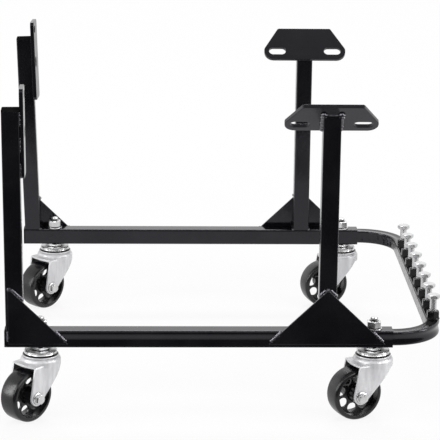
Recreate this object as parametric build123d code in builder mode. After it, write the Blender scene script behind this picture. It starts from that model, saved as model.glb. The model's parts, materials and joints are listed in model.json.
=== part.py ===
from build123d import *
from math import cos, radians, sin
import os

# Engine dolly: a square-tube cradle on four swivel casters.
# The dolly's front points along +X and its left side along +Y. The origin lies on the floor,
# midway between the two rails and halfway along them. Millimetres and degrees.

# Square tube of the rails and posts
TUBE = 25.4
TUBE_WALL = 2.5
TUBE_CORNER = 2.8
RAIL_LENGTH = 556.0
RAIL_SPACING = 540.0  # between the rails' centre lines
FRONT_POST_SETBACK = 68.3  # front post's centre behind the front caster's stem
REAR_POST_HEIGHT = 320.0  # rail top to the open end of the tube
RIGHT_POST_LEAN = 0.5  # rear posts lean back by these angles
LEFT_POST_LEAN = 1.9

# Caps in the open tube ends
CAP_FLANGE = 2.2
CAP_PLUG = 12.0
CAP_CLEARANCE = 0.1

# Triangular gussets on the outer faces of rails and posts
GUSSET_THICKNESS = 3.0
GUSSET_LIFT = 6.0  # foot of a gusset above the rail's underside
GUSSET_TIP = 4.0  # flat at the top of a gusset
REAR_GUSSET_INSET = 3.6  # upright edge in from the post's rear face
REAR_GUSSET_LENGTH = 86.0
REAR_GUSSET_HEIGHT = 80.0
FRONT_GUSSET_LENGTH = 170.0
FRONT_GUSSET_HEIGHT = 79.5

# Bell-housing plates on the front faces of the rear posts
BELL_PLATE_WIDTH = 38.0
BELL_PLATE_HEIGHT = 129.0
BELL_PLATE_THICKNESS = 6.0
BELL_PLATE_CORNER = 6.0
BELL_PLATE_INSET = 4.0  # outer edge in from the post's outer face
BELL_PLATE_RISE = 31.6  # top edge above the end of the post's tube
BELL_SLOT_LENGTH = 17.0
BELL_SLOT_WIDTH = 12.0
BELL_SLOT_DROP = 66.5  # slot's centre below the plate's top edge
BELL_SLOT_EDGE = 10.0  # slot's centre in from the plate's inner edge
BELL_HOLE_DIAMETER = 12.0
BELL_HOLE_DROP = 13.0
BELL_HOLE_EDGE = 10.0

# Tilted engine-mount plates on the front posts
MOUNT_HEIGHT = 312.0  # rail top to the middle of a plate
MOUNT_OFFSET = 3.0  # middle of a plate outward of its post
MOUNT_TILT = 45.0  # from level, outer edge up
MOUNT_WIDTH = 133.0
MOUNT_TOP_WIDTH = 86.0
MOUNT_DEPTH = 60.0  # along the slope
MOUNT_SHOULDER = 20.0  # full width ends this far up the slope
MOUNT_THICKNESS = 6.0
MOUNT_LOWER_RADIUS = 15.0
MOUNT_SIDE_RADIUS = 14.0
MOUNT_UPPER_RADIUS = 4.0
MOUNT_SLOT_LENGTH = 26.0
MOUNT_SLOT_WIDTH = 11.5
MOUNT_SLOT_PITCH = 90.0
MOUNT_SLOT_EDGE = 16.0  # slots' centre line up from the plate's lower edge

# Front bar, a square tube bent to a U whose arms slide into the rails
BAR_CLEARANCE = 0.2  # each side, between an arm and the rail's inside
BAR_WALL = 2.0
BAR_CORNER = 2.5
BAR_BEND_RADIUS = 64.0  # at the centre line
BAR_STRAIGHT = 2.0  # between the rail's end and the bend
BAR_PAST_STEM = 25.0  # an arm runs this far past its caster stem

# Bolts kept in a row of nuts welded on the front bar
BOLT_DIAMETER = 10.0
BOLT_HEAD_FLATS = 17.0
BOLT_HEAD_HEIGHT = 6.4
BOLT_SHOWN = 18.5  # bare shank between nut and head
BOLT_TIP_GAP = 0.5  # between the shank's tip and the bar
THREAD_CLEARANCE = 0.05
WELD_NUT_FLATS = 17.0
WELD_NUT_HEIGHT = 12.0
WELD_NUT_PITCH = 54.3
WELD_NUT_START = 58.3  # first nut in from the right rail's centre line

# Caster stems through the rails
REAR_STEM_INSET = 49.0  # in from the rails' rear ends
FRONT_STEM_INSET = 27.0  # in from the rails' front ends
STEM_DIAMETER = 12.0
STEM_HOLE_CLEARANCE = 0.3
STEM_TAIL = 5.5  # above its nut
STEM_CHAMFER = 1.2
WASHER_DIAMETER = 24.0
WASHER_THICKNESS = 2.0
STEM_NUT_FLATS = 19.0
STEM_NUT_HEIGHT = 10.5
COLLAR_FLATS = 24.0
COLLAR_HEIGHT = 5.0

# Swivel: kingpin and ball races
KINGPIN_DIAMETER = 10.0
KINGPIN_HEAD_DIAMETER = 16.0
KINGPIN_HEAD_HEIGHT = 2.5
SWIVEL_CLEARANCE = 0.05  # radial, kingpin in its bore
SWIVEL_PLAY = 0.2  # kingpin head below the crown
UPPER_RACE_DIAMETER = 48.5
UPPER_RACE_HEIGHT = 6.4
UPPER_RACE_RIM = 4.0  # rounding of the race's upper edge
RACE_GAP = 0.6
LOWER_RACE_DIAMETER = 52.0
LOWER_RACE_HEIGHT = 9.0
CROWN_RIM = 2.5  # upright edge of the crown, below the shoulder
CROWN_SHOULDER = 2.0

# Pressed fork
SHEET = 3.0
CROWN_BULGE = 5.0  # round part of the crown outside the legs
CROWN_FRONT = 7.0  # front edge of the crown ahead of the axle
LEG_BACK = 21.0  # rear corner of the legs behind the kingpin
LEG_END_RADIUS = 11.5
LEG_BEND = 4.0
TRAIL = 29.0  # kingpin to axle

# Wheels
WHEEL_DIAMETER = 76.2
WHEEL_WIDTH = 31.0
WHEEL_CLEARANCE = 5.8  # wheel to the underside of the crown
TREAD_CROWN = 0.8
RIM_THICKNESS = 7.5
WEB_THICKNESS = 4.0
HUB_WALL = 5.0
HUB_PROUD = 5.0  # hub beyond the rim on each side
HUB_CLEARANCE = 0.5  # hub to leg
WHEEL_HOLES = 8
WHEEL_HOLE_DIAMETER = 14.0
WHEEL_HOLE_GAP = 1.1  # between a hole and the rim
WHEEL_HOLE_TURN = -10.0

# Axles
AXLE_DIAMETER = 8.0
AXLE_CLEARANCE = 0.1
SLEEVE_WALL = 1.9
WHEEL_BORE_CLEARANCE = 0.05
AXLE_HEAD_FLATS = 13.0
AXLE_HEAD_HEIGHT = 6.5
AXLE_FLANGE_DIAMETER = 17.0
AXLE_FLANGE_THICKNESS = 1.5
AXLE_NUT_HEIGHT = 6.5
AXLE_TAIL = 2.0

# Where the casters stand turned: trail direction, from straight back towards the right
REAR_RIGHT_TURN = 46.0
REAR_LEFT_TURN = 45.0
FRONT_RIGHT_TURN = 22.0
FRONT_LEFT_TURN = 17.0

RIGHT = -1
LEFT = 1
SIDES = {"right": RIGHT, "left": LEFT}
POST_LEAN = {RIGHT: RIGHT_POST_LEAN, LEFT: LEFT_POST_LEAN}
HEX_TURN = 30.0  # a corner of each upright nut points to the side

# Heights, from the floor up
axle_z = WHEEL_DIAMETER / 2
crown_underside = WHEEL_DIAMETER + WHEEL_CLEARANCE
crown_top = crown_underside + SHEET
lower_race_top = crown_top + LOWER_RACE_HEIGHT
upper_race_bottom = lower_race_top + RACE_GAP
collar_bottom = upper_race_bottom + UPPER_RACE_HEIGHT
rail_bottom = collar_bottom + COLLAR_HEIGHT
rail_middle = rail_bottom + TUBE / 2
rail_top = rail_bottom + TUBE
stem_nut_bottom = rail_top + WASHER_THICKNESS
stem_top = stem_nut_bottom + STEM_NUT_HEIGHT + STEM_TAIL

# Places along and across the dolly
tube_inside = TUBE - 2 * TUBE_WALL
rail_rear = -RAIL_LENGTH / 2
rail_front = RAIL_LENGTH / 2
rail_y = RAIL_SPACING / 2
outer_face = rail_y + TUBE / 2
rear_post_x = rail_rear + TUBE / 2
rear_stem_x = rail_rear + REAR_STEM_INSET
front_stem_x = rail_front - FRONT_STEM_INSET
front_post_x = front_stem_x - FRONT_POST_SETBACK
stem_hole_radius = STEM_DIAMETER / 2 + STEM_HOLE_CLEARANCE

# Front bar, resting on the rails' lower walls
bar_size = tube_inside - 2 * BAR_CLEARANCE
bar_inside = bar_size - 2 * BAR_WALL
bar_middle = rail_bottom + TUBE_WALL + bar_size / 2
bar_top = bar_middle + bar_size / 2
bar_end_x = front_stem_x - BAR_PAST_STEM
crossbar_x = rail_front + BAR_STRAIGHT + BAR_BEND_RADIUS
weld_nut_count = int((RAIL_SPACING - WELD_NUT_START - BAR_BEND_RADIUS) / WELD_NUT_PITCH) + 1
weld_nut_places = [
    (crossbar_x, -rail_y + WELD_NUT_START + index * WELD_NUT_PITCH)
    for index in range(weld_nut_count)
]
weld_nut_top = bar_top + WELD_NUT_HEIGHT

# Casters
wheel_radius = WHEEL_DIAMETER / 2
hub_width = WHEEL_WIDTH + 2 * HUB_PROUD
fork_gap = hub_width + 2 * HUB_CLEARANCE
fork_width = fork_gap + 2 * SHEET
crown_radius = fork_width / 2 + CROWN_BULGE
crown_front = TRAIL + CROWN_FRONT
leg_reach = max(TRAIL + LEG_END_RADIUS, crown_front)
kingpin_bore_radius = KINGPIN_DIAMETER / 2 + SWIVEL_CLEARANCE
axle_hole_radius = AXLE_DIAMETER / 2 + AXLE_CLEARANCE
sleeve_radius = axle_hole_radius + SLEEVE_WALL
wheel_bore_radius = sleeve_radius + WHEEL_BORE_CLEARANCE
hub_radius = wheel_bore_radius + HUB_WALL
rim_inner_radius = wheel_radius - RIM_THICKNESS
wheel_hole_circle = rim_inner_radius - WHEEL_HOLE_GAP - WHEEL_HOLE_DIAMETER / 2


def save(piece, name):
    """Label a finished piece and write it as its own file."""
    piece.part.label = name
    export_step(piece.part, f"parts/{name}.step")


def on(frame, plane):
    """Plane given in another plane's own frame, as a plane of the dolly."""
    return Plane(frame.location * plane.location)


def square_tube(plane, length):
    """Length of the frame's square tube, pulled along the plane's normal."""
    with BuildPart() as tube:
        with BuildSketch(plane):
            RectangleRounded(TUBE, TUBE, TUBE_CORNER)
            Rectangle(tube_inside, tube_inside, mode=Mode.SUBTRACT)
        extrude(amount=length)
    return tube


def end_cap(plane):
    """Cap on a tube's end: a flange outside, and a plug inside the bore."""
    plug_size = tube_inside - 2 * CAP_CLEARANCE
    with BuildPart() as cap:
        with BuildSketch(plane):
            RectangleRounded(TUBE, TUBE, TUBE_CORNER)
        extrude(amount=CAP_FLANGE)
        with BuildSketch(plane):
            Rectangle(plug_size, plug_size)
        extrude(amount=-CAP_PLUG)
    return cap


def rail(side):
    """Long tube of one side, drilled for its two caster stems."""
    start = Plane(origin=(rail_rear, side * rail_y, rail_middle), x_dir=(0, 1, 0), z_dir=(1, 0, 0))
    with BuildPart() as tube:
        add(square_tube(start, RAIL_LENGTH).part)
        with Locations((rear_stem_x, side * rail_y, rail_top), (front_stem_x, side * rail_y, rail_top)):
            Hole(stem_hole_radius)
    return tube


def rear_post_plane(side):
    """Plane at a rear post's foot: z up the leaning post, x towards its front."""
    lean = radians(POST_LEAN[side])
    foot = (rear_post_x, side * rail_y, rail_top)
    return Plane(origin=foot, x_dir=(cos(lean), 0, sin(lean)), z_dir=(-sin(lean), 0, cos(lean)))


def rear_post(side):
    """Upright tube, its foot cut level on the rail."""
    below_foot = rear_post_plane(side).offset(-TUBE)
    with BuildPart() as post:
        add(square_tube(below_foot, TUBE + REAR_POST_HEIGHT).part)
        split(bisect_by=Plane.XY.offset(rail_top), keep=Keep.TOP)
    return post


def mount_plane(side, height):
    """Plane of a mount plate at a height above its middle, x along the dolly and y up the slope."""
    tilt = radians(MOUNT_TILT)
    normal = (0, -side * sin(tilt), cos(tilt))
    middle = (front_post_x, side * (rail_y + MOUNT_OFFSET), rail_top + MOUNT_HEIGHT)
    return Plane(origin=middle, x_dir=(side, 0, 0), z_dir=normal).offset(height)


def front_post(side):
    """Upright tube cut off at a slant under its mount plate."""
    foot = Plane(origin=(front_post_x, side * rail_y, rail_top))
    with BuildPart() as post:
        add(square_tube(foot, MOUNT_HEIGHT + MOUNT_DEPTH).part)
        split(bisect_by=mount_plane(side, -MOUNT_THICKNESS / 2), keep=Keep.BOTTOM)
    return post


def mount_plate(side):
    """Tilted plate with two slots for an engine mount."""
    lower = -MOUNT_DEPTH / 2
    upper = MOUNT_DEPTH / 2
    shoulder = lower + MOUNT_SHOULDER
    with BuildPart() as plate:
        with BuildSketch(mount_plane(side, -MOUNT_THICKNESS / 2)) as outline:
            with BuildLine():
                Polyline(
                    (-MOUNT_WIDTH / 2, lower),
                    (MOUNT_WIDTH / 2, lower),
                    (MOUNT_WIDTH / 2, shoulder),
                    (MOUNT_TOP_WIDTH / 2, upper),
                    (-MOUNT_TOP_WIDTH / 2, upper),
                    (-MOUNT_WIDTH / 2, shoulder),
                    close=True,
                )
            make_face()
            fillet(outline.vertices().group_by(Axis.Y)[0], MOUNT_LOWER_RADIUS)
            fillet(outline.vertices().group_by(Axis.Y)[-2], MOUNT_SIDE_RADIUS)
            fillet(outline.vertices().group_by(Axis.Y)[-1], MOUNT_UPPER_RADIUS)
            slot_y = lower + MOUNT_SLOT_EDGE
            with Locations((-MOUNT_SLOT_PITCH / 2, slot_y), (MOUNT_SLOT_PITCH / 2, slot_y)):
                SlotOverall(MOUNT_SLOT_LENGTH, MOUNT_SLOT_WIDTH, mode=Mode.SUBTRACT)
        extrude(amount=MOUNT_THICKNESS)
    return plate


def bell_plate(side):
    """Plate on a rear post's front face, with a slot and a round hole in its inner half."""
    outer_edge = TUBE / 2 - BELL_PLATE_INSET
    inner_edge = outer_edge - BELL_PLATE_WIDTH
    top = REAR_POST_HEIGHT + BELL_PLATE_RISE
    with BuildPart() as plate:
        with BuildSketch(on(rear_post_plane(side), Plane.YZ.offset(TUBE / 2))):
            with Locations((side * (outer_edge + inner_edge) / 2, top - BELL_PLATE_HEIGHT / 2)):
                RectangleRounded(BELL_PLATE_WIDTH, BELL_PLATE_HEIGHT, BELL_PLATE_CORNER)
            with Locations((side * (inner_edge + BELL_SLOT_EDGE), top - BELL_SLOT_DROP)):
                SlotOverall(BELL_SLOT_LENGTH, BELL_SLOT_WIDTH, rotation=90, mode=Mode.SUBTRACT)
            with Locations((side * (inner_edge + BELL_HOLE_EDGE), top - BELL_HOLE_DROP)):
                Circle(BELL_HOLE_DIAMETER / 2, mode=Mode.SUBTRACT)
        extrude(amount=BELL_PLATE_THICKNESS)
    return plate


def gusset(side, outline):
    """Flat plate on the outer faces of one side, from corner points (x, z)."""
    with BuildPart() as plate:
        with BuildSketch(Plane.XZ.offset(-side * outer_face)):
            with BuildLine():
                Polyline(*outline, close=True)
            make_face()
        extrude(amount=-side * GUSSET_THICKNESS)
    return plate


def rear_gusset(side):
    """Right-angled gusset, its upright edge along the rear post."""
    back = rail_rear + REAR_GUSSET_INSET
    foot = rail_bottom + GUSSET_LIFT
    top = foot + REAR_GUSSET_HEIGHT
    return gusset(side, [(back, foot), (back + REAR_GUSSET_LENGTH, foot), (back + GUSSET_TIP, top), (back, top)])


def front_gusset(side):
    """Even-sided gusset, centred on the front post."""
    half = FRONT_GUSSET_LENGTH / 2
    foot = rail_bottom + GUSSET_LIFT
    top = foot + FRONT_GUSSET_HEIGHT
    corners = [(-half, foot), (half, foot), (GUSSET_TIP / 2, top), (-GUSSET_TIP / 2, top)]
    return gusset(side, [(front_post_x + x, z) for x, z in corners])


def front_bar():
    """Square tube bent to a U, drilled where the front stems pass through its arms."""
    start = Plane(origin=(bar_end_x, -rail_y, bar_middle), x_dir=(0, 1, 0), z_dir=(1, 0, 0))
    with BuildPart() as bar:
        with BuildLine(Plane.XY.offset(bar_middle)):
            FilletPolyline(
                (bar_end_x, -rail_y),
                (crossbar_x, -rail_y),
                (crossbar_x, rail_y),
                (bar_end_x, rail_y),
                radius=BAR_BEND_RADIUS,
            )
        with BuildSketch(start):
            RectangleRounded(bar_size, bar_size, BAR_CORNER)
            Rectangle(bar_inside, bar_inside, mode=Mode.SUBTRACT)
        sweep()
        with Locations((front_stem_x, -rail_y, bar_top), (front_stem_x, rail_y, bar_top)):
            Hole(stem_hole_radius)
    return bar


def weld_nuts():
    """Row of hexagon nuts standing on the front bar."""
    with BuildPart() as nuts:
        with BuildSketch(Plane.XY.offset(bar_top)):
            with Locations(*weld_nut_places):
                RegularPolygon(WELD_NUT_FLATS / 2, 6, major_radius=False, rotation=HEX_TURN)
                Circle(BOLT_DIAMETER / 2 + THREAD_CLEARANCE, mode=Mode.SUBTRACT)
        extrude(amount=WELD_NUT_HEIGHT)
    return nuts


def storage_bolts():
    """Hexagon-head bolts screwed part way into the row of nuts."""
    head_underside = weld_nut_top + BOLT_SHOWN
    shank_tip = bar_top + BOLT_TIP_GAP
    with BuildPart() as bolts:
        with BuildSketch(Plane.XY.offset(shank_tip)):
            with Locations(*weld_nut_places):
                Circle(BOLT_DIAMETER / 2)
        extrude(amount=head_underside - shank_tip)
        with BuildSketch(Plane.XY.offset(head_underside)):
            with Locations(*weld_nut_places):
                RegularPolygon(BOLT_HEAD_FLATS / 2, 6, major_radius=False)
        extrude(amount=BOLT_HEAD_HEIGHT)
    return bolts


def caster_frame(x, side, turn):
    """Plane on the floor under a caster's kingpin: x along the trail, y along the axle."""
    angle = radians(turn)
    return Plane(origin=(x, side * rail_y, 0), x_dir=(-cos(angle), -sin(angle), 0), z_dir=(0, 0, 1))


def axle_plane(frame, distance):
    """Plane square to the axle, at a distance from the wheel's middle."""
    middle = Plane(origin=(TRAIL, 0, axle_z), x_dir=(1, 0, 0), z_dir=(0, 1, 0))
    return on(frame, middle.offset(distance))


def stem(frame):
    """Threaded stem, hexagon collar, kingpin and riveted head in one piece."""
    head_top = crown_underside - SWIVEL_PLAY
    with BuildPart() as pin:
        with BuildSketch(on(frame, Plane.XY.offset(head_top))):
            Circle(KINGPIN_HEAD_DIAMETER / 2)
        extrude(amount=-KINGPIN_HEAD_HEIGHT)
        with BuildSketch(on(frame, Plane.XY.offset(head_top))):
            Circle(KINGPIN_DIAMETER / 2)
        extrude(amount=collar_bottom - head_top)
        with BuildSketch(Plane(origin=frame.origin).offset(collar_bottom)):
            RegularPolygon(COLLAR_FLATS / 2, 6, major_radius=False, rotation=HEX_TURN)
        extrude(amount=COLLAR_HEIGHT)
        with BuildSketch(on(frame, Plane.XY.offset(rail_bottom))):
            Circle(STEM_DIAMETER / 2)
        extrude(amount=stem_top - rail_bottom)
        chamfer(pin.faces().sort_by(Axis.Z)[-1].edges(), STEM_CHAMFER)
    return pin


def washer(frame):
    """Flat washer on the rail's top."""
    with BuildPart() as ring:
        with BuildSketch(on(frame, Plane.XY.offset(rail_top))):
            Circle(WASHER_DIAMETER / 2)
            Circle(stem_hole_radius, mode=Mode.SUBTRACT)
        extrude(amount=WASHER_THICKNESS)
    return ring


def stem_nut(frame):
    """Hexagon nut holding the stem down on its washer."""
    with BuildPart() as nut:
        with BuildSketch(Plane(origin=frame.origin).offset(stem_nut_bottom)):
            RegularPolygon(STEM_NUT_FLATS / 2, 6, major_radius=False, rotation=HEX_TURN)
            Circle(STEM_DIAMETER / 2 + THREAD_CLEARANCE, mode=Mode.SUBTRACT)
        extrude(amount=STEM_NUT_HEIGHT)
    return nut


def upper_race(frame):
    """Round cap of the ball race, seated under the stem's collar."""
    with BuildPart() as race:
        with BuildSketch(on(frame, Plane.XY.offset(upper_race_bottom))):
            Circle(UPPER_RACE_DIAMETER / 2)
            Circle(kingpin_bore_radius, mode=Mode.SUBTRACT)
        extrude(amount=UPPER_RACE_HEIGHT)
        rim = race.edges().group_by(Axis.Z)[-1].sort_by(SortBy.RADIUS)[-1]
        fillet(rim, min(UPPER_RACE_RIM, UPPER_RACE_HEIGHT / 2))
    return race


def fork_trim(frame):
    """Space that the fork's sheet may fill: the legs' side view, and the crown's round plate."""
    with BuildPart() as space:
        with BuildSketch(on(frame, Plane.XZ)):
            with BuildLine():
                Line((-LEG_BACK, crown_underside), (-LEG_BACK, crown_top))
                Line((-LEG_BACK, crown_top), (crown_front, crown_top))
                CenterArc((TRAIL, axle_z), LEG_END_RADIUS, 0, 360)
            make_hull()
        extrude(amount=fork_width, both=True)
        with BuildSketch(on(frame, Plane.XY.offset(crown_underside))):
            Circle(crown_radius)
        extrude(amount=SHEET)
    return space


def fork(frame):
    """Pressed fork: walls round the crown, two legs, and the lower ball race on top."""
    leg_bottom = axle_z - LEG_END_RADIUS
    leg_height = crown_top - leg_bottom
    shoulder_bottom = crown_top + CROWN_RIM
    with BuildPart() as body:
        # Outer form: a channel with rounded bends, ending in a round crown
        with BuildSketch(on(frame, Plane.YZ)) as channel:
            with Locations((0, leg_bottom + leg_height / 2)):
                Rectangle(fork_width, leg_height)
            fillet(channel.vertices().group_by(Axis.Y)[-1], LEG_BEND)
        extrude(amount=leg_reach)
        with BuildSketch(on(frame, Plane.XY.offset(leg_bottom))):
            Circle(crown_radius)
        extrude(amount=leg_height)
        # Hollow below the crown, as wide as the gap between the legs
        with BuildSketch(on(frame, Plane.XY.offset(leg_bottom))):
            Circle(crown_radius - SHEET)
            with Locations((leg_reach / 2, 0)):
                Rectangle(leg_reach, fork_gap)
        extrude(amount=crown_underside - leg_bottom, mode=Mode.SUBTRACT)
        add(fork_trim(frame).part, mode=Mode.INTERSECT)
        # Raised race with a sloping shoulder
        with BuildSketch(on(frame, Plane.XZ)):
            with BuildLine():
                Polyline(
                    (0, crown_top),
                    (crown_radius, crown_top),
                    (crown_radius, shoulder_bottom),
                    (LOWER_RACE_DIAMETER / 2, shoulder_bottom + CROWN_SHOULDER),
                    (LOWER_RACE_DIAMETER / 2, lower_race_top),
                    (0, lower_race_top),
                    close=True,
                )
            make_face()
        revolve(axis=Axis(frame.origin, frame.z_dir))
        with Locations(on(frame, Plane.XY.offset(lower_race_top))):
            Hole(kingpin_bore_radius)
        with Locations(axle_plane(frame, fork_width / 2)):
            Hole(axle_hole_radius)
    return body


def axle_bolt(frame):
    """Flanged hexagon bolt through both legs."""
    with BuildPart() as bolt:
        with BuildSketch(axle_plane(frame, fork_width / 2)):
            Circle(AXLE_FLANGE_DIAMETER / 2)
        extrude(amount=AXLE_FLANGE_THICKNESS)
        with BuildSketch(axle_plane(frame, fork_width / 2 + AXLE_FLANGE_THICKNESS)):
            RegularPolygon(AXLE_HEAD_FLATS / 2, 6, major_radius=False)
        extrude(amount=AXLE_HEAD_HEIGHT)
        with BuildSketch(axle_plane(frame, fork_width / 2)):
            Circle(AXLE_DIAMETER / 2)
        extrude(amount=-(fork_width + AXLE_NUT_HEIGHT + AXLE_TAIL))
    return bolt


def axle_nut(frame):
    """Hexagon nut against the other leg."""
    with BuildPart() as nut:
        with BuildSketch(axle_plane(frame, -fork_width / 2)):
            RegularPolygon(AXLE_HEAD_FLATS / 2, 6, major_radius=False)
            Circle(AXLE_DIAMETER / 2 + THREAD_CLEARANCE, mode=Mode.SUBTRACT)
        extrude(amount=-AXLE_NUT_HEIGHT)
    return nut


def sleeve(frame):
    """Spacer tube between the legs, on which the wheel turns."""
    with BuildPart() as tube:
        with BuildSketch(axle_plane(frame, -fork_gap / 2)):
            Circle(sleeve_radius)
            Circle(axle_hole_radius, mode=Mode.SUBTRACT)
        extrude(amount=fork_gap)
    return tube


def wheel(frame):
    """Wheel with a crowned tread, a recessed web with round holes, and a long hub."""
    half_width = WHEEL_WIDTH / 2
    tread_edge = wheel_radius - TREAD_CROWN
    section = on(frame, Plane(origin=(TRAIL, 0, axle_z), x_dir=(0, 1, 0), z_dir=(1, 0, 0)))
    with BuildPart() as disc:
        with BuildSketch(section):
            with Locations((0, (wheel_bore_radius + hub_radius) / 2)):
                Rectangle(hub_width, hub_radius - wheel_bore_radius)
            with Locations((0, (hub_radius + rim_inner_radius) / 2)):
                Rectangle(WEB_THICKNESS, rim_inner_radius - hub_radius)
            with BuildLine():
                ThreePointArc((-half_width, tread_edge), (0, wheel_radius), (half_width, tread_edge))
                Polyline(
                    (half_width, tread_edge),
                    (half_width, rim_inner_radius),
                    (-half_width, rim_inner_radius),
                    (-half_width, tread_edge),
                )
            make_face()
        revolve(axis=Axis(section.origin, section.x_dir))
        with BuildSketch(axle_plane(frame, -WEB_THICKNESS / 2)):
            with PolarLocations(wheel_hole_circle, WHEEL_HOLES, start_angle=WHEEL_HOLE_TURN):
                Circle(WHEEL_HOLE_DIAMETER / 2)
        extrude(amount=WEB_THICKNESS, mode=Mode.SUBTRACT)
    return disc


os.makedirs("parts", exist_ok=True)

# Frame
for name, side in SIDES.items():
    rail_end = Plane(origin=(rail_rear, side * rail_y, rail_middle), x_dir=(0, 1, 0), z_dir=(-1, 0, 0))
    save(rail(side), f"{name}_rail")
    save(end_cap(rail_end), f"{name}_rail_cap")
    save(rear_post(side), f"rear_{name}_post")
    save(end_cap(rear_post_plane(side).offset(REAR_POST_HEIGHT)), f"rear_{name}_post_cap")
    save(front_post(side), f"front_{name}_post")
    save(bell_plate(side), f"{name}_bell_plate")
    save(mount_plate(side), f"{name}_mount_plate")
    save(rear_gusset(side), f"rear_{name}_gusset")
    save(front_gusset(side), f"front_{name}_gusset")
save(front_bar(), "front_bar")
save(weld_nuts(), "weld_nuts")
save(storage_bolts(), "storage_bolts")

# Casters
CASTERS = {
    "rear_right": caster_frame(rear_stem_x, RIGHT, REAR_RIGHT_TURN),
    "rear_left": caster_frame(rear_stem_x, LEFT, REAR_LEFT_TURN),
    "front_right": caster_frame(front_stem_x, RIGHT, FRONT_RIGHT_TURN),
    "front_left": caster_frame(front_stem_x, LEFT, FRONT_LEFT_TURN),
}
for name, frame in CASTERS.items():
    save(stem(frame), f"{name}_stem")
    save(washer(frame), f"{name}_washer")
    save(stem_nut(frame), f"{name}_stem_nut")
    save(upper_race(frame), f"{name}_upper_race")
    save(fork(frame), f"{name}_fork")
    save(axle_bolt(frame), f"{name}_axle_bolt")
    save(axle_nut(frame), f"{name}_axle_nut")
    save(sleeve(frame), f"{name}_sleeve")
    save(wheel(frame), f"{name}_wheel")
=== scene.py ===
"""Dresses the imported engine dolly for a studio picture.

The dolly's front points along +X, its left side along +Y, and it stands on the floor at z = 0.
Shapes are made in millimetres, and a finished piece is in metres.
"""

import json
import logging
import math
from collections.abc import Callable, Iterable, Sequence
from dataclasses import dataclass, replace
from enum import Enum

import bmesh
import bpy
from bmesh.types import BMEdge, BMesh, BMVert
from bpy.types import Material, Node, NodeSocket, NodeTree, Object
from mathutils import Matrix, Vector


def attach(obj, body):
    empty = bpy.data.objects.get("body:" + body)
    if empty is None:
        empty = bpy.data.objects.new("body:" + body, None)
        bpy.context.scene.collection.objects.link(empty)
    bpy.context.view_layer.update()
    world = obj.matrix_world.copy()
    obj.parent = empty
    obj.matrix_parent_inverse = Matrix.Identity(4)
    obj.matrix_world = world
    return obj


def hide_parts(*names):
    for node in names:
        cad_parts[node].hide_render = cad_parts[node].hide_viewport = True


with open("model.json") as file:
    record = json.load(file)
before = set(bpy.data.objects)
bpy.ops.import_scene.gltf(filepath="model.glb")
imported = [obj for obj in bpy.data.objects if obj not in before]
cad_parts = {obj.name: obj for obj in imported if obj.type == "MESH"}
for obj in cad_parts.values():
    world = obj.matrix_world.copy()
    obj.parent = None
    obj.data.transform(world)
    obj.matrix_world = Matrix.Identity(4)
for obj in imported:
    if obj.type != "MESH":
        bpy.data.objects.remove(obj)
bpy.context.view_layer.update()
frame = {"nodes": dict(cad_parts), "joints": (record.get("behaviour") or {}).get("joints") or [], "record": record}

log = logging.getLogger("dolly")

METRE = 0.001  # a millimetre, in metres
FINE = 1e-4  # vertices nearer than this are one, in millimetres
ROUND_STEPS = 6  # segments in a rounded corner
EDGE_STEPS = 3  # segments in a cut or cast edge
TURN_STEPS = 72  # segments in a full turn
SHARP_ANGLE = math.radians(40)  # edges sharper than this are softened
SHADE_ANGLE = math.radians(32)  # edges sharper than this are shaded as creases
UP = Vector((0, 0, 1))
FLIP = Matrix.Rotation(math.pi, 4, "X")  # turns a shape upside down

NUT_PLAY = 0.05  # between a thread and its nut
PINHOLE = 0.05  # radius of the hole in a bolt's head, which is built as a nut and too fine to see
HEX_FACE = 0.475  # radius of a hexagon's flat end, in widths across flats
HEX_LEAD = 0.04  # chamfer of a nut's hole, in widths across flats
HEX_SLOPE = math.tan(math.radians(30))  # of the chamfered corners
HEX_EDGE = 0.35  # rounding of edges
HEX_SHARP = math.radians(50)  # edges sharper than this are rounded
THREAD_DEPTH = 0.61  # in pitches
THREAD_RIDGE = ((0, 0.0), (1, 0.42), (1, 0.54), (0, 0.96), (0, 1.0))  # shares of depth and pitch
THREAD_MERGE = 0.02  # how far apart the turns' ends may lie, in pitches
TIP_LENGTH = 0.7  # of a thread's chamfered tip, in pitches
TIP_SUNK = 0.2  # how far the tip starts inside the thread
TIP_RADII = (0.1, -0.4)  # of the tip's two ends, over the thread's root
TIP_ROUND = 0.3
BEAD_STEPS = 12  # segments round a weld bead
BEAD_RIPPLE = 0.6  # length of a ripple, in radii
BEAD_LEAST = 3  # fewest ripples
BEAD_PROFILE = ((0.95, 0.0), (1.0, 0.4), (0.985, 0.75))  # of a ripple, in radii and in its length
BEAD_END = ((0.7, 0.2), (0.0, 0.5))  # radius and distance past the end, in radii
BEAD_SWELL = (0.05, 2.4)  # share by which ripples differ in radius, and the angle from one to the next

Pair = tuple[float, float]
Point = tuple[float, float, float]
Corner = tuple[float, float, float]  # two coordinates and a rounding radius
Profile = tuple[Corner, ...]  # radius, height and rounding of a turned shape's corners
Ring = Callable[[float], Pair]  # angle to radius and height
Seam = tuple[Vector, Vector, float]  # ends of a weld's middle line, and its radius
Plane = tuple[Vector, Vector]  # a point and the normal


class Side(Enum):
    """The dolly's two long sides, by the sign of Y."""

    RIGHT = -1
    LEFT = 1

    @property
    def word(self) -> str:
        """Name of the side in the frame's node names."""
        return self.name.lower()


class End(Enum):
    """The posts' two places on a rail, as in the frame's node names."""

    REAR = "rear"
    FRONT = "front"


class Slot(Enum):
    """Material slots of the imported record."""

    PAINT = "black_paint"
    CAP = "black_cap"
    NUT = "black_nut"
    BOLT = "bright_bolt"
    ZINC = "zinc"
    STEEL = "steel"
    WHEEL = "black_wheel"


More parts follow.
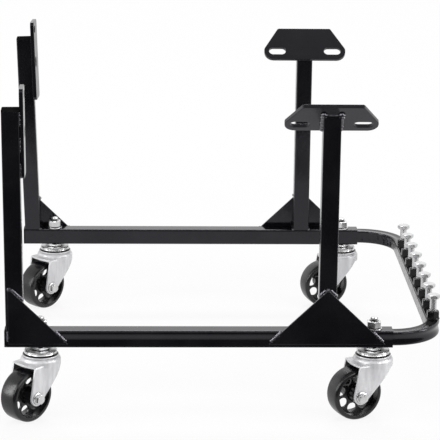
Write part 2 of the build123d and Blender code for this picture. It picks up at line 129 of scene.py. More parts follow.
class Shape:
    """A mesh in millimetres, and the operators that shape it."""

    def __init__(self, bm: BMesh | None = None) -> None:
        """Start with an empty mesh, unless one is given."""
        self.bm = bmesh.new() if bm is None else bm

    def everything(self) -> list:
        """All its vertices, edges and faces."""
        return [*self.bm.verts, *self.bm.edges, *self.bm.faces]

    def outline(self, corners: Sequence[Corner]) -> list[BMEdge]:
        """Draw a closed outline with rounded corners in the XY plane.

        Args:
            corners: Places in order, each with its rounding radius.

        Returns:
            The outline's edges.
        """
        verts = [self.bm.verts.new((x, y, 0)) for x, y, _ in corners]
        self.bm.faces.new(verts)
        setbacks = []
        for index, vert in enumerate(verts):
            to_last = verts[index - 1].co - vert.co
            to_next = verts[(index + 1) % len(verts)].co - vert.co
            setbacks.append(corners[index][2] / math.tan(to_last.angle(to_next) / 2))
        for vert, setback in zip(verts, setbacks):
            if setback > FINE:
                self.bevel([vert], setback, ROUND_STEPS)
        bmesh.ops.remove_doubles(self.bm, verts=self.bm.verts, dist=FINE)
        edges = [edge for face in self.bm.faces for edge in face.edges]
        bmesh.ops.delete(self.bm, geom=self.bm.faces[:], context="FACES_ONLY")
        return edges

    def ring(self, x: float, y: float, radius: float) -> list[BMEdge]:
        """Draw a circle in the XY plane.

        Args:
            x: Its middle.
            y: Its middle.
            radius: Its radius.

        Returns:
            The circle's edges.
        """
        place = Matrix.Translation((x, y, 0))
        made = bmesh.ops.create_circle(self.bm, segments=TURN_STEPS // 2, radius=radius, matrix=place)
        fresh = set(made["verts"])
        return [edge for edge in self.bm.edges if fresh.issuperset(edge.verts)]

    def thicken(self, edges: Sequence[BMEdge], thickness: float) -> "Shape":
        """Fill outlines, with those inside others as openings, and pull the sheet up along Z.

        Args:
            edges: Edges of all the outlines.
            thickness: Height of the finished plate.

        Returns:
            The shape itself.
        """
        bmesh.ops.triangle_fill(self.bm, use_beauty=True, edges=edges)
        made = bmesh.ops.extrude_face_region(self.bm, geom=self.bm.faces[:])
        risen = [item for item in made["geom"] if isinstance(item, BMVert)]
        bmesh.ops.translate(self.bm, vec=(0, 0, thickness), verts=risen)
        return self.close()

    def extend(self, edges: Sequence[BMEdge]) -> tuple[list[BMVert], list[BMEdge]]:
        """Start a strip of faces along edges, still without width.

        Args:
            edges: The edges.

        Returns:
            The vertices and edges on the strip's new side.
        """
        made = bmesh.ops.extrude_edge_only(self.bm, edges=edges)["geom"]
        verts = [item for item in made if isinstance(item, BMVert)]
        fresh = set(verts)
        return verts, [item for item in made if isinstance(item, BMEdge) and fresh.issuperset(item.verts)]

    def close(self) -> "Shape":
        """Merge vertices that meet, and turn all faces outwards.

        Returns:
            The shape itself.
        """
        bmesh.ops.remove_doubles(self.bm, verts=self.bm.verts, dist=FINE)
        bmesh.ops.recalc_face_normals(self.bm, faces=self.bm.faces)
        return self

    def bevel(self, geom: Sequence[BMEdge | BMVert], width: float, steps: int) -> "Shape":
        """Round edges or vertices.

        Args:
            geom: The edges, or the vertices.
            width: How far the rounding reaches from them.
            steps: Segments across it.

        Returns:
            The shape itself.
        """
        bmesh.ops.bevel(
            self.bm,
            geom=geom,
            offset=width,
            offset_type="OFFSET",
            segments=steps,
            profile=0.5,
            affect="VERTICES" if isinstance(geom[0], BMVert) else "EDGES",
            material=-1,
        )
        return self

    def soften(self, width: float, steps: int = 2, limit: float = SHARP_ANGLE) -> "Shape":
        """Round the edges whose faces turn by more than a limit, and return the shape."""
        inner = [edge for edge in self.bm.edges if len(edge.link_faces) == 2]
        return self.bevel([edge for edge in inner if edge.calc_face_angle() > limit], width, steps)

    def place(self, matrix: Matrix) -> "Shape":
        """Move the shape by a matrix in millimetres that doesn't mirror, and return it."""
        bmesh.ops.transform(self.bm, matrix=matrix, verts=self.bm.verts)
        return self

    def lift(self, height: float) -> "Shape":
        """Raise the shape along Z, and return it."""
        return self.place(Matrix.Translation((0, 0, height)))

    def join(self, *others: "Shape") -> "Shape":
        """Take in other shapes as further shells.

        Args:
            others: Shapes that aren't used again.

        Returns:
            The shape itself.
        """
        for other in others:
            mesh = bpy.data.meshes.new("shell")
            other.bm.to_mesh(mesh)
            other.bm.free()
            self.bm.from_mesh(mesh)
            bpy.data.meshes.remove(mesh)
        return self

    def repeat(self, places: Iterable[Matrix]) -> "Shape":
        """Make a new shape with a copy of this one at each place."""
        return Shape().join(*[Shape(self.bm.copy()).place(matrix) for matrix in places])


def rectangle(width: float, height: float, radius: float, x: float = 0, y: float = 0) -> list[Corner]:
    """Corners of a rectangle about a middle at x and y, with their rounding radius."""
    signs = ((-1, -1), (1, -1), (1, 1), (-1, 1))
    return [(x + along * width / 2, y + up * height / 2, radius) for along, up in signs]


def smooth(value: float) -> float:
    """Pass smoothly from 0 to 1 while a value does."""
    share = max(0.0, min(1.0, value))
    return share * share * (3 - 2 * share)


def lathe(profile: Sequence[Corner], steps: int = TURN_STEPS) -> Shape:
    """Turn a closed profile about the Z axis.

    Args:
        profile: Radius, height and rounding of each corner, in order.
        steps: Segments in the turn.

    Returns:
        The turned solid.
    """
    shape = Shape()
    shape.outline(profile)
    shape.place(Matrix.Rotation(math.pi / 2, 4, "X"))
    bm = shape.bm
    on_axis = [edge for edge in bm.edges if all(vert.co.x < FINE for vert in edge.verts)]
    bmesh.ops.delete(bm, geom=on_axis, context="EDGES")
    geom = shape.everything()
    bmesh.ops.spin(bm, geom=geom, axis=UP, angle=2 * math.pi, steps=steps, use_merge=True)
    return shape.close()


def tower(rings: Sequence[Ring]) -> Shape:
    """Stack rings into a wall that returns to its first ring.

    Args:
        rings: Each ring's radius and height, by angle.

    Returns:
        The closed solid.
    """
    shape = Shape()
    verts = bmesh.ops.create_circle(shape.bm, segments=TURN_STEPS, radius=1)["verts"]
    edges = shape.bm.edges[:]
    for step, ring in enumerate([*rings, rings[0]]):
        if step:
            verts, edges = shape.extend(edges)
        for vert in verts:
            angle = math.atan2(vert.co.y, vert.co.x)
            radius, height = ring(angle)
            vert.co = (radius * math.cos(angle), radius * math.sin(angle), height)
    return shape.close()


def circle(radius: float, height: float) -> Ring:
    """Ring of a tower that is a level circle."""
    return lambda angle: (radius, height)


def hexagon(flats: float, height: float, drop: float) -> Ring:
    """Ring of a tower that is a hexagon, sloping at its corners as a chamfer cuts it.

    Args:
        flats: Width across flats.
        height: Height at the middle of a flat.
        drop: Change of height per millimetre that a corner stands further out.

    Returns:
        The ring, with a corner straight along Y.
    """
    sector = math.pi / 3

    def at(angle: float) -> Pair:
        """Radius and height at an angle."""
        radius = flats / 2 / math.cos((angle + math.pi / 2) % sector - sector / 2)
        return radius, height - drop * (radius - flats / 2)

    return at


def hex_block(flats: float, height: float, bore: float, washer_face: float = 0.0) -> Shape:
    """Hexagon nut or bolt head with chamfered ends, standing on z = 0.

    Args:
        flats: Width across flats.
        height: Full height.
        bore: Radius of the hole.
        washer_face: Height of the round step under the hexagon.

    Returns:
        The block, with a corner straight along Y.
    """
    face = HEX_FACE * flats
    lead = min(HEX_LEAD * flats, bore / 2)
    cut = HEX_SLOPE * (flats / 2 - face)
    rings = [
        circle(bore + lead, 0),
        circle(face, 0),
        circle(face, washer_face),
        hexagon(flats, washer_face + cut, -HEX_SLOPE),
        hexagon(flats, height - cut, HEX_SLOPE),
        circle(face, height),
        circle(bore + lead, height),
        circle(bore, height - lead),
        circle(bore, lead),
    ]
    return tower(rings).soften(HEX_EDGE, limit=HEX_SHARP)


def thread(radius: float, pitch: float, bottom: float, top: float) -> Shape:
    """Threaded rod along Z, with a chamfered tip at its top.

    Args:
        radius: Outer radius.
        pitch: Height of one turn.
        bottom: Height of the plain cut lower end.
        top: Height of the tip.

    Returns:
        The rod.
    """
    steps = TURN_STEPS // 2
    root = radius - THREAD_DEPTH * pitch
    turn = Shape()
    ridge = [(root + share * (radius - root), 0, rise * pitch) for share, rise in THREAD_RIDGE]
    line = [turn.bm.verts.new(spot) for spot in ridge]
    for pair in zip(line, line[1:]):
        turn.bm.edges.new(pair)
    geom = turn.everything()
    bmesh.ops.spin(turn.bm, geom=geom, axis=UP, dvec=UP * pitch / steps, angle=2 * math.pi, steps=steps)
    start = bottom - 2 * pitch
    tip = top - TIP_LENGTH * pitch
    turns = math.ceil((tip - start) / pitch) + 1
    rod = turn.repeat(Matrix.Translation(UP * (start + index * pitch)) for index in range(turns))
    bm = rod.bm
    bmesh.ops.remove_doubles(bm, verts=bm.verts, dist=THREAD_MERGE * pitch)
    for height, way in ((bottom, -UP), (tip, UP)):
        geom = rod.everything()
        cut = bmesh.ops.bisect_plane(bm, geom=geom, plane_co=UP * height, plane_no=way, clear_outer=True)
        bmesh.ops.holes_fill(bm, edges=[item for item in cut["geom_cut"] if isinstance(item, BMEdge)])
    low = tip - TIP_SUNK
    wide, narrow = (root + over for over in TIP_RADII)
    return rod.close().join(lathe([(0, low, 0), (wide, low, 0), (narrow, top, TIP_ROUND), (0, top, 0)]))


def bead(start: Vector, end: Vector, radius: float) -> Shape:
    """Weld bead, a rippled rod half sunk in the corner that it fills.

    Args:
        start: One end of its middle line.
        end: The other end.
        radius: Radius at the crest of a ripple.

    Returns:
        The bead in place.
    """
    run = end - start
    length = run.length
    ripples = max(BEAD_LEAST, round(length / (BEAD_RIPPLE * radius)))
    pitch = length / ripples
    swell, phase = BEAD_SWELL
    profile = [(share * radius, -past * radius, 0) for share, past in reversed(BEAD_END)]
    for index in range(ripples):
        crest = radius * (1 + swell * math.sin(phase * index + start.x))
        profile += [(share * crest, (index + rise) * pitch, 0) for share, rise in BEAD_PROFILE]
    profile += [(share * radius, length + past * radius, 0) for share, past in BEAD_END]
    turn = run.to_track_quat("Z", "Y").to_matrix().to_4x4()
    return lathe(profile, BEAD_STEPS).place(Matrix.Translation(start) @ turn)


def trim(bm: BMesh, plane: Plane, chosen: Callable[[Vector], bool]) -> None:
    """Cut the chosen faces of a mesh along a plane, and drop what lies beyond it.

    Args:
        bm: The mesh.
        plane: The plane.
        chosen: Tells by a face's middle whether the cut is meant for it.
    """
    spot, normal = plane
    faces = [face for face in bm.faces if chosen(face.calc_center_median())]
    cut = dict.fromkeys(item for face in faces for item in (face, *face.edges, *face.verts))
    bmesh.ops.bisect_plane(bm, geom=list(cut), plane_co=spot, plane_no=normal)
    middles = [(face, face.calc_center_median()) for face in bm.faces]
    beyond = [face for face, middle in middles if chosen(middle) and (middle - spot).dot(normal) > FINE]
    bmesh.ops.delete(bm, geom=beyond, context="FACES")


@dataclass(frozen=True)
class Grain:
    """Noise over a surface."""

    scale: float  # grains per metre
    detail: float  # octaves of finer grain
    depth: float = 0.0  # of the bump that it makes, in metres
    stretch: Point = (1, 1, 1)  # scale along each axis


class Graph:
    """A node tree, with short calls that add nodes and link them."""

    def __init__(self, tree: NodeTree) -> None:
        """Work on a tree."""
        self.tree = tree

    def feed(self, socket: NodeSocket, value: object) -> None:
        """Link a socket to another, or set its value.

        Args:
            socket: An input.
            value: What it gets.
        """
        if isinstance(value, NodeSocket):
            self.tree.links.new(value, socket)
        else:
            socket.default_value = value

    def wire(self, node: Node, **inputs: object) -> Node:
        """Feed inputs of a node.

        Args:
            node: The node.
            inputs: Values or sockets by input name, with underscores for spaces.

        Returns:
            The node.
        """
        for name, value in inputs.items():
            self.feed(node.inputs[name.replace("_", " ")], value)
        return node

    def add(self, kind: str, **inputs: object) -> Node:
        """Add a node by its type's name, less the word ShaderNode, and feed its inputs."""
        return self.wire(self.tree.nodes.new(f"ShaderNode{kind}"), **inputs)

    def math(self, operation: str, *values: object, kind: str = "Math") -> NodeSocket:
        """Make a number of others.

        Args:
            operation: Blender's name of what is done.
            values: Numbers, vectors or sockets.
            kind: Math, or VectorMath where it starts from vectors.

        Returns:
            The result.
        """
        node = self.add(kind)
        node.operation = operation
        for socket, value in zip(node.inputs, values):
            self.feed(socket, value)
        return node.outputs["Value"]

    def ease(self, value: NodeSocket, span: Pair, low: float = 0.0, high: float = 1.0) -> NodeSocket:
        """Pass smoothly from one number to another while a value crosses a range.

        Args:
            value: The value.
            span: Where the range starts and ends.
            low: Result before the range.
            high: Result after it.

        Returns:
            The result.
        """
        start, end = span
        node = self.add("MapRange", Value=value, From_Min=start, From_Max=end, To_Min=low, To_Max=high)
        node.interpolation_type = "SMOOTHSTEP"
        return node.outputs[0]


class Surface(Graph):
    """Node tree of one material."""

    NOISE_MIDDLE = (0.3, 0.7)  # where most of a noise lies
    EDGE_TURN = (0.98, 0.86)  # likeness of the rounded and the true normal, where an edge starts and is full
    EDGE_PATCHES = Grain(260, 3)
    OPEN_SKY = (0.85, 0.35)  # where a hollow starts and is full

    def __init__(self, name: str) -> None:
        """Start a material with one shader and the object's own coordinates.

        Args:
            name: The material's name.
        """
        self.material = bpy.data.materials.new(name)
        self.material.use_nodes = True
        super().__init__(self.material.node_tree)
        self.shader = self.tree.nodes["Principled BSDF"]
        self.place = self.add("TexCoord").outputs["Object"]

    def noise(self, grain: Grain) -> NodeSocket:
        """Noise over the object's own coordinates, as a number."""
        spot = self.add("Mapping", Vector=self.place, Scale=grain.stretch).outputs[0]
        return self.add("TexNoise", Vector=spot, Scale=grain.scale, Detail=grain.detail).outputs["Fac"]

    def spread(self, grain: Grain, low: float = 0.0, high: float = 1.0) -> NodeSocket:
        """Noise whose middle is spread over a range."""
        return self.ease(self.noise(grain), self.NOISE_MIDDLE, low, high)

    def edges(self, width: float) -> NodeSocket:
        """Patchy mask of the edges.

        Args:
            width: How far from an edge it reaches, in metres.

        Returns:
            The mask, from 0 to 1.
        """
        rounded = self.add("Bevel", Radius=width).outputs["Normal"]
        true = self.add("NewGeometry").outputs["Normal"]
        likeness = self.math("DOT_PRODUCT", rounded, true, kind="VectorMath")
        return self.math("MULTIPLY", self.ease(likeness, self.EDGE_TURN), self.spread(self.EDGE_PATCHES))

    def hollows(self, reach: float) -> NodeSocket:
        """Mask of inner corners and gaps whose other side is within reach, in metres, where shade is painted."""
        return self.ease(self.add("AmbientOcclusion", Distance=reach).outputs["AO"], self.OPEN_SKY)

    def axis(self, name: str) -> NodeSocket:
        """One of the object's own coordinates, in metres."""
        return self.add("SeparateXYZ", Vector=self.place).outputs[name]

    def dip(self, low: float, high: float) -> NodeSocket:
        """Height field that is 0 at two heights and dips to -1 midway.

        Args:
            low: The lower height, in metres.
            high: The upper height.

        Returns:
            The field.
        """
        rise = self.math("SUBTRACT", self.axis("Z"), low)
        wave = self.math("COSINE", self.math("MULTIPLY", rise, 2 * math.pi / (high - low)))
        return self.math("MULTIPLY", self.math("SUBTRACT", wave, 1.0), 0.5)

    def tint(self, share: NodeSocket, first: Point | NodeSocket, second: Point | NodeSocket) -> NodeSocket:
        """Mix two colours.

        Args:
            share: Share of the second colour.
            first: A colour or its socket.
            second: A colour or its socket.

        Returns:
            The mixed colour.
        """
        mix = self.add("Mix", Factor=share)
        mix.data_type = "RGBA"
        for name, colour in (("A_Color", first), ("B_Color", second)):
            socket = next(item for item in mix.inputs if item.identifier == name)
            self.feed(socket, (*colour, 1) if isinstance(colour, tuple) else colour)
        return next(item for item in mix.outputs if item.identifier == "Result_Color")

    def bump(self, height: NodeSocket, depth: float, under: NodeSocket | None = None) -> NodeSocket:
        """Raise the surface by a height field.

        Args:
            height: The field.
            depth: Its full height, in metres.
            under: Normal that it is laid over.

        Returns:
            The new normal.
        """
        node = self.add("Bump", Height=height, Distance=depth)
        if under is not None:
            self.feed(node.inputs["Normal"], under)
        return node.outputs[0]

    def roughen(self, grain: Grain, under: NodeSocket | None = None) -> NodeSocket:
        """Raise the surface by a noise, over another normal if there is one."""
        return self.bump(self.noise(grain), grain.depth, under)

    def finish(self, **inputs: object) -> Material:
        """Feed the shader, and return the material."""
        self.wire(self.shader, **inputs)
        return self.material


@dataclass(frozen=True)
class Finish:
    """A surface finish, made into a material once."""

    name: str
    colour: Point
    shift: Point  # the colour that it varies to
    rubbed_and_highlit_edge: Point  # the colour along edges: partly rubbed edges, partly a painted highlight
    rough: Pair
    clouds: Grain = Grain(35, 4)  # where its colour varies
    patches: Grain = Grain(120, 4)  # where its roughness varies
    rubbed_and_highlit_width: float = 0.0012  # how far from an edge the rubbing and the painted highlight reach, in metres

    def material(self) -> Material:
        """The finish's material, made at its first use."""
        return bpy.data.materials.get(self.name) or self.make(Surface(self.name))

    def make(self, surface: Surface) -> Material:
        """Build the finish's nodes in a new material's tree, and return the material."""
        rough = surface.spread(self.patches, *self.rough)
        return surface.finish(Base_Color=self.paint(surface), Roughness=rough, **self.more(surface))

    def paint(self, surface: Surface) -> NodeSocket:
        """Colour with clouds, and edges lighter from rubbing and a painted highlight."""
        cloud = surface.tint(surface.spread(self.clouds), self.colour, self.shift)
        # Edges go to the lighter edge colour: partly rubbing, partly a painted highlight.
        return surface.tint(surface.edges(self.rubbed_and_highlit_width), cloud, self.rubbed_and_highlit_edge)

    def more(self, surface: Surface) -> dict[str, object]:
        """What the finish feeds to the shader besides colour and roughness."""
        raise NotImplementedError


@dataclass(frozen=True)
class PowderCoat(Finish):
    """Glossy black coat with slow waves and a fine orange peel."""

    clouds: Grain = Grain(14, 3)
    patches: Grain = Grain(60, 4)
    rubbed_and_highlit_width: float = 0.0009
    waves: Grain = Grain(22, 1, 0.0003)
    peel: Grain = Grain(420, 1, 0.00004)
    dust: Grain = Grain(2600, 2, 0.000004)
    gloss: float = 1.5  # index of refraction
    sheen: Point = (0.93, 0.90, 1.0)  # colour of the gloss
    tilt: float = 0.0  # slope of upright faces towards the floor, as of a frame that leans in
    sag: float = 0.0  # hollow of an upright face, in metres
    face: Pair = (0.0, 1.0)  # lower and upper edge of that face

    def more(self, surface: Surface) -> dict[str, object]:
        """Gloss, and the form of the coat.

        Args:
            surface: A new material's tree.

        Returns:
            Values and sockets by the shader's input names.
        """
        form = surface.roughen(self.waves)
        if self.tilt:
            form = surface.bump(surface.axis("Z"), self.tilt, form)
        if self.sag:
            form = surface.bump(surface.dip(*self.face), self.sag, form)
        form = surface.roughen(self.dust, surface.roughen(self.peel, form))
        return {"Normal": form, "IOR": self.gloss, "Specular_Tint": (*self.sheen, 1)}


@dataclass(frozen=True)
class Moulded(Finish):
    """Black plastic or cast surface with a fine grain."""

    grain: Grain = Grain(1500, 3, 0.00003)
    gloss: float = 0.5

    def more(self, surface: Surface) -> dict[str, object]:
        """Gloss and grain."""
        return {"Normal": surface.roughen(self.grain), "Specular_IOR_Level": self.gloss}


@dataclass(frozen=True)
class Plated(Finish):
    """Plated steel with fine drawing lines and soft streaks along Z, and painted shade in its hollows."""

    clouds: Grain = Grain(150, 4, stretch=(1, 1, 0.2))
    patches: Grain = Grain(700, 3, stretch=(1, 1, 0.06))
    rubbed_and_highlit_width: float = 0.0007
    lines: float = 0.000012  # depth of the drawing lines, in metres
    metal: float = 0.9
    hollow_shade: Point = (0.06, 0.06, 0.065)  # painted shade: the colour laid in hollows
    hollow: float = 0.006  # reach of the hollows, in metres

    def paint(self, surface: Surface) -> NodeSocket:
        """Colour with clouds, edges lighter from rubbing and a painted highlight, and painted shade in hollows."""
        # Darken the hollows towards hollow_shade: painted shade from ambient occlusion.
        return surface.tint(surface.hollows(self.hollow), super().paint(surface), self.hollow_shade)

    def more(self, surface: Surface) -> dict[str, object]:
        """Metal, and the drawing lines."""
        return {"Normal": surface.roughen(replace(self.patches, depth=self.lines)), "Metallic": self.metal}


PAINT = PowderCoat(
    "black powder coat",
    (0.0026, 0.0026, 0.0034),
    (0.0055, 0.0055, 0.0066),
    (0.016, 0.016, 0.017),
    (0.09, 0.17),
)
WELD_PAINT = PowderCoat(
    "black coat on welds",
    (0.004, 0.004, 0.0045),
    (0.010, 0.010, 0.011),
    (0.016, 0.016, 0.017),
    (0.10, 0.20),
    gloss=2.2,
)
POST_PAINT = replace(PAINT, name="black coat on leaning posts", tilt=0.08)
BAR_PAINT = replace(PAINT, name="black coat on the bent bar", tilt=0.14)
RAIL_PAINT = replace(PAINT, name="black coat on a hollow rail", sag=0.0021, face=(0.1038, 0.1292))
CAP_PLASTIC = Moulded(
    "black cap plastic",
    (0.005, 0.005, 0.005),
    (0.009, 0.009, 0.009),
    # The edge colour here is partly a painted highlight along the flange's rim.
    (0.04, 0.04, 0.04),
    (0.6, 0.75),
    gloss=0.0,
)
BLACK_NUT = Moulded(
    "black oxide nut",
    (0.002, 0.002, 0.002),
    (0.005, 0.005, 0.005),
    (0.02, 0.02, 0.02),
    (0.10, 0.24),
    gloss=0.3,
)
WHEEL_BLACK = Moulded(
    "black wheel",
    (0.0040, 0.0040, 0.0050),
    (0.0080, 0.0080, 0.0095),
    (0.020, 0.020, 0.022),
    (0.22, 0.30),
    grain=Grain(900, 3, 0.000006),
)
ZINC = Plated(
    "bright zinc sheet",
    (0.70, 0.70, 0.71),
    (0.57, 0.57, 0.59),
    (0.80, 0.80, 0.80),
    (0.30, 0.46),
    metal=0.42,
    # Painted shade, deep and far-reaching, in the fork's corners and gaps.
    hollow_shade=(0.02, 0.02, 0.022),
    hollow=0.016,
)
BRIGHT = Plated(
    "bright plated steel",
    (0.78, 0.78, 0.78),
    (0.68, 0.68, 0.69),
    (0.85, 0.85, 0.85),
    (0.18, 0.28),
    lines=0.000003,
    metal=0.93,
)
SATIN = Plated(
    "satin plated bolts",
    (0.70, 0.70, 0.71),
    (0.60, 0.60, 0.61),
    (0.78, 0.78, 0.78),
    (0.16, 0.26),
    lines=0.000004,
    metal=0.8,
    # Painted shade, mild, in the bolts' corners and under their heads.
    hollow_shade=(0.40, 0.40, 0.41),
)
STEEL = Plated(
    "plain steel",
    (0.55, 0.55, 0.55),
    (0.45, 0.45, 0.46),
    (0.62, 0.62, 0.62),
    (0.25, 0.4),
    lines=0.000006,
)

NODE_FINISHES = {
    Slot.PAINT: PAINT,
    Slot.CAP: CAP_PLASTIC,
    Slot.NUT: BLACK_NUT,
    Slot.BOLT: SATIN,
    Slot.ZINC: ZINC,
    Slot.STEEL: STEEL,
    Slot.WHEEL: WHEEL_BLACK,
}
OWN_FINISHES = {"right_rail": RAIL_PAINT, "front_left_post": POST_PAINT, "rear_left_post": POST_PAINT}


def put(name: str, data: bpy.types.ID) -> Object:
    """Put data in the scene as an object.

    Args:
        name: The object's name.
        data: Its mesh, lamp or camera.

    Returns:
        The object, at the origin.
    """
    made = bpy.data.objects.new(name, data)
    bpy.context.scene.collection.objects.link(made)
    return made


@dataclass(frozen=True)
class Dress:
    """What a new piece is called, and what it belongs to."""

    name: str
    body: str
    slot: Slot
    finish: Finish
    stands_for: tuple[str, ...] = ()

    def piece(self, shape: Shape) -> None:
        """Turn a shape into a finished piece of the dolly.

        Args:
            shape: The shape in place, in millimetres. It isn't used again.
        """
        bm = shape.bm
        bmesh.ops.scale(bm, vec=(METRE, METRE, METRE), verts=bm.verts)
        for face in bm.faces:
            face.smooth = True
        for edge in bm.edges:
            edge.smooth = len(edge.link_faces) == 2 and edge.calc_face_angle() < SHADE_ANGLE
        mesh = bpy.data.meshes.new(self.name)
        bm.to_mesh(mesh)
        bm.free()
        mesh.materials.append(self.finish.material())
        made = put(self.name, mesh)
        made.modifiers.new("even shading", "WEIGHTED_NORMAL").keep_sharp = True
        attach(made, self.body)
        if self.stands_for:
            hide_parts(*self.stands_for)
        log.info("%s: %d faces, rides on %s", self.name, len(mesh.polygons), self.body)


@dataclass
class SideFrame:
    """One welded side: rail, two posts, gussets, plates and caps."""

    side: Side
    lean: float  # rear post, degrees back
    twist: float  # bell plate, degrees towards the right
    tube: float = 25.4
    tube_corner: float = 2.8
    rail_rear: float = -278.0
    rail_y: float = 270.0
    rail_bottom: float = 106.0
    rear_post_height: float = 320.0
    front_post_x: float = 182.7
    cap_flange: float = 2.2
    cap_edge: float = 0.9
    cap_steps: int = 4
    cap_plug: Point = (20.2, 12.0, 0.8)  # width, length and corner radius
    cap_sunk: float = 0.4  # the plug's reach into the flange
    plate_edge: float = 0.7  # rounding of cut plate edges
    gusset_thickness: float = 3.0
    gusset_lift: float = 6.0  # above the rail's lower face
    gusset_tip: float = 4.0
    gusset_radii: Point = (1.5, 0.6, 1.0)  # square corner, sharp corners, tip
    rear_gusset_inset: float = 3.6
    rear_gusset: Pair = (86.0, 80.0)
    front_gusset: Pair = (170.0, 79.5)
    bell_size: Point = (38.0, 129.0, 6.0)
    bell_corner: float = 6.0
    bell_inset: float = 4.0
    bell_rise: float = 31.6
    bell_slot: Pair = (12.0, 17.0)
    bell_slot_drop: float = 66.5
    bell_hole: float = 12.0
    bell_hole_drop: float = 13.0
    bell_edge: float = 10.0
    mount_height: float = 312.0
    mount_offset: float = 3.0
    mount_tilt: float = 45.0
    mount_size: Point = (133.0, 60.0, 6.0)
    mount_top: float = 86.0
    mount_shoulder: float = 20.0
    mount_radii: Point = (15.0, 8.4, 4.0)
    mount_slot: Pair = (27.5, 13.6)
    mount_slot_pitch: float = 90.0
    mount_slot_edge: float = 16.0
    foot_weld: float = 2.2  # radius of the welds at the posts' feet
    foot_inset: float = 1.5  # how far they end inside the tube's width
    mount_weld: float = 4.6  # along the front post's sides
    mount_weld_past: float = 4.0  # how far they run past the post
    mount_cross_weld: float = 1.6
    bell_weld: float = 1.7
    bell_stitch: float = 20.0
    bell_stitches: Point = (0.02, 0.4, 0.78)  # starts, as shares of the plate's run along the post
    fillet: float = 4.4  # weld along a gusset's edge on the rail
    fillet_sunk: float = 1.3  # how far its middle lies inside the rail, and inside the gusset
    fillet_start: float = 0.05  # share of the edge below it
    stitch: float = 3.2  # weld along a gusset's edge on a post
    stitch_out: float = 1.4  # how far its middle lies outside that edge
    weld_gap: float = 0.02  # share of an edge between a weld and the tube's corner

    @property
    def y(self) -> float:
        """Middle of the rail across the dolly."""
        return self.side.value * self.rail_y

    @property
    def rail_top(self) -> float:
        """Height of the rail's upper face."""
        return self.rail_bottom + self.tube

    @property
    def outer_y(self) -> float:
        """Place of the tubes' outer faces across the dolly."""
        return self.side.value * (self.rail_y + self.tube / 2)

    def rear_post_place(self) -> Matrix:
        """Move from the rear post's own frame, with Z up the leaning post."""
        foot = Vector((self.rail_rear + self.tube / 2, self.y, self.rail_top))
        return Matrix.Translation(foot) @ Matrix.Rotation(math.radians(-self.lean), 4, "Y")

    def mount_place(self) -> Matrix:
        """Move from the mount plate's own frame, with Z out of its upper face.

        Returns:
            The move.
        """
        tilt = math.radians(self.mount_tilt)
        sign = self.side.value
        along = Vector((sign, 0, 0))
        normal = Vector((0, -sign * math.sin(tilt), math.cos(tilt)))
        turn = Matrix((along, normal.cross(along), normal)).transposed().to_4x4()
        y = sign * (self.rail_y + self.mount_offset)
        return Matrix.Translation((self.front_post_x, y, self.rail_top + self.mount_height)) @ turn

    def cut(
        self,
        corners: Sequence[Corner],
        thickness: float,
        slots: Sequence[tuple[Pair, Pair]] = (),
        holes: Sequence[Point] = (),
    ) -> Shape:
        """Cut a plate with rounded edges.

        Args:
            corners: Its outline.
            thickness: Its thickness.
            slots: Size and middle of each slot with round ends.
            holes: Middle and radius of each round hole.

        Returns:
            The plate, lying on z = 0.
        """
        shape = Shape()
        edges = shape.outline(corners)
        for size, middle in slots:
            edges += shape.outline(rectangle(*size, min(size) / 2 - FINE, *middle))
        for hole in holes:
            edges += shape.ring(*hole)
        return shape.thicken(edges, thickness).soften(self.plate_edge, EDGE_STEPS)

    def gusset_corners(self, end: End) -> list[Corner]:
        """Outline of a gusset, along the dolly and up.

        Args:
            end: Which gusset.

        Returns:
            The foot's rear and front corner, and the tip's front and rear corner.
        """
        square, sharp, blunt = self.gusset_radii
        if end is End.REAR:
            length, height = self.rear_gusset
            rear = tip = self.rail_rear + self.rear_gusset_inset
        else:
            length, height = self.front_gusset
            rear = self.front_post_x - length / 2
            tip = self.front_post_x - self.gusset_tip / 2
        foot = self.rail_bottom + self.gusset_lift
        top = foot + height
        return [
            (rear, foot, square if end is End.REAR else sharp),
            (rear + length, foot, sharp),
            (tip + self.gusset_tip, top, blunt),
            (tip, top, blunt),
        ]

    def gusset(self, end: End) -> Shape:
        """Triangular plate on the outer faces of rail and post.

        Args:
            end: Which gusset.

        Returns:
            The plate in place.
        """
        plate = self.cut(self.gusset_corners(end), self.gusset_thickness)
        upright = Matrix.Translation((0, self.outer_y, 0)) @ Matrix.Rotation(math.pi / 2, 4, "X")
        if self.side is Side.LEFT:
            upright @= Matrix.Translation((0, 0, -self.gusset_thickness))
        return plate.place(upright)

    def mount_plate(self) -> Shape:
        """Tilted plate with two slots.

        Returns:
            The plate in place.
        """
        width, depth, thickness = self.mount_size
        lower, side, upper = self.mount_radii
        bottom = -depth / 2
        half = [
            (width / 2, bottom, lower),
            (width / 2, bottom + self.mount_shoulder, side),
            (self.mount_top / 2, depth / 2, upper),
        ]
        corners = half + [(-x, y, radius) for x, y, radius in reversed(half)]
        slot_y = bottom + self.mount_slot_edge
        middles = [(sign * self.mount_slot_pitch / 2, slot_y) for sign in (-1, 1)]
        plate = self.cut(corners, thickness, [(self.mount_slot, middle) for middle in middles])
        return plate.lift(-thickness / 2).place(self.mount_place())

    def bell_plate(self) -> Shape:
        """Plate on the rear post's front face, with a slot and a round hole.

        Returns:
            The plate in place.
        """
        width, height, thickness = self.bell_size
        sign = self.side.value
        outer = self.tube / 2 - self.bell_inset
        top = self.rear_post_height + self.bell_rise
        corners = rectangle(width, height, self.bell_corner, sign * (outer - width / 2), top - height / 2)
        hole_y = sign * (outer - width + self.bell_edge)
        slot = (self.bell_slot, (hole_y, top - self.bell_slot_drop))
        hole = (hole_y, top - self.bell_hole_drop, self.bell_hole / 2)
        plate = self.cut(corners, thickness, [slot], [hole])
        upright = Matrix(((0, 0, 1, 0), (1, 0, 0, self.tube / 2), (0, 1, 0, 0), (0, 0, 0, 1)))
        turn = Matrix.Rotation(math.radians(-self.twist), 4, "Z")
        edge = Matrix.Translation((self.tube / 2, -self.tube / 2, 0))
        return plate.place(self.rear_post_place() @ edge @ turn @ upright)

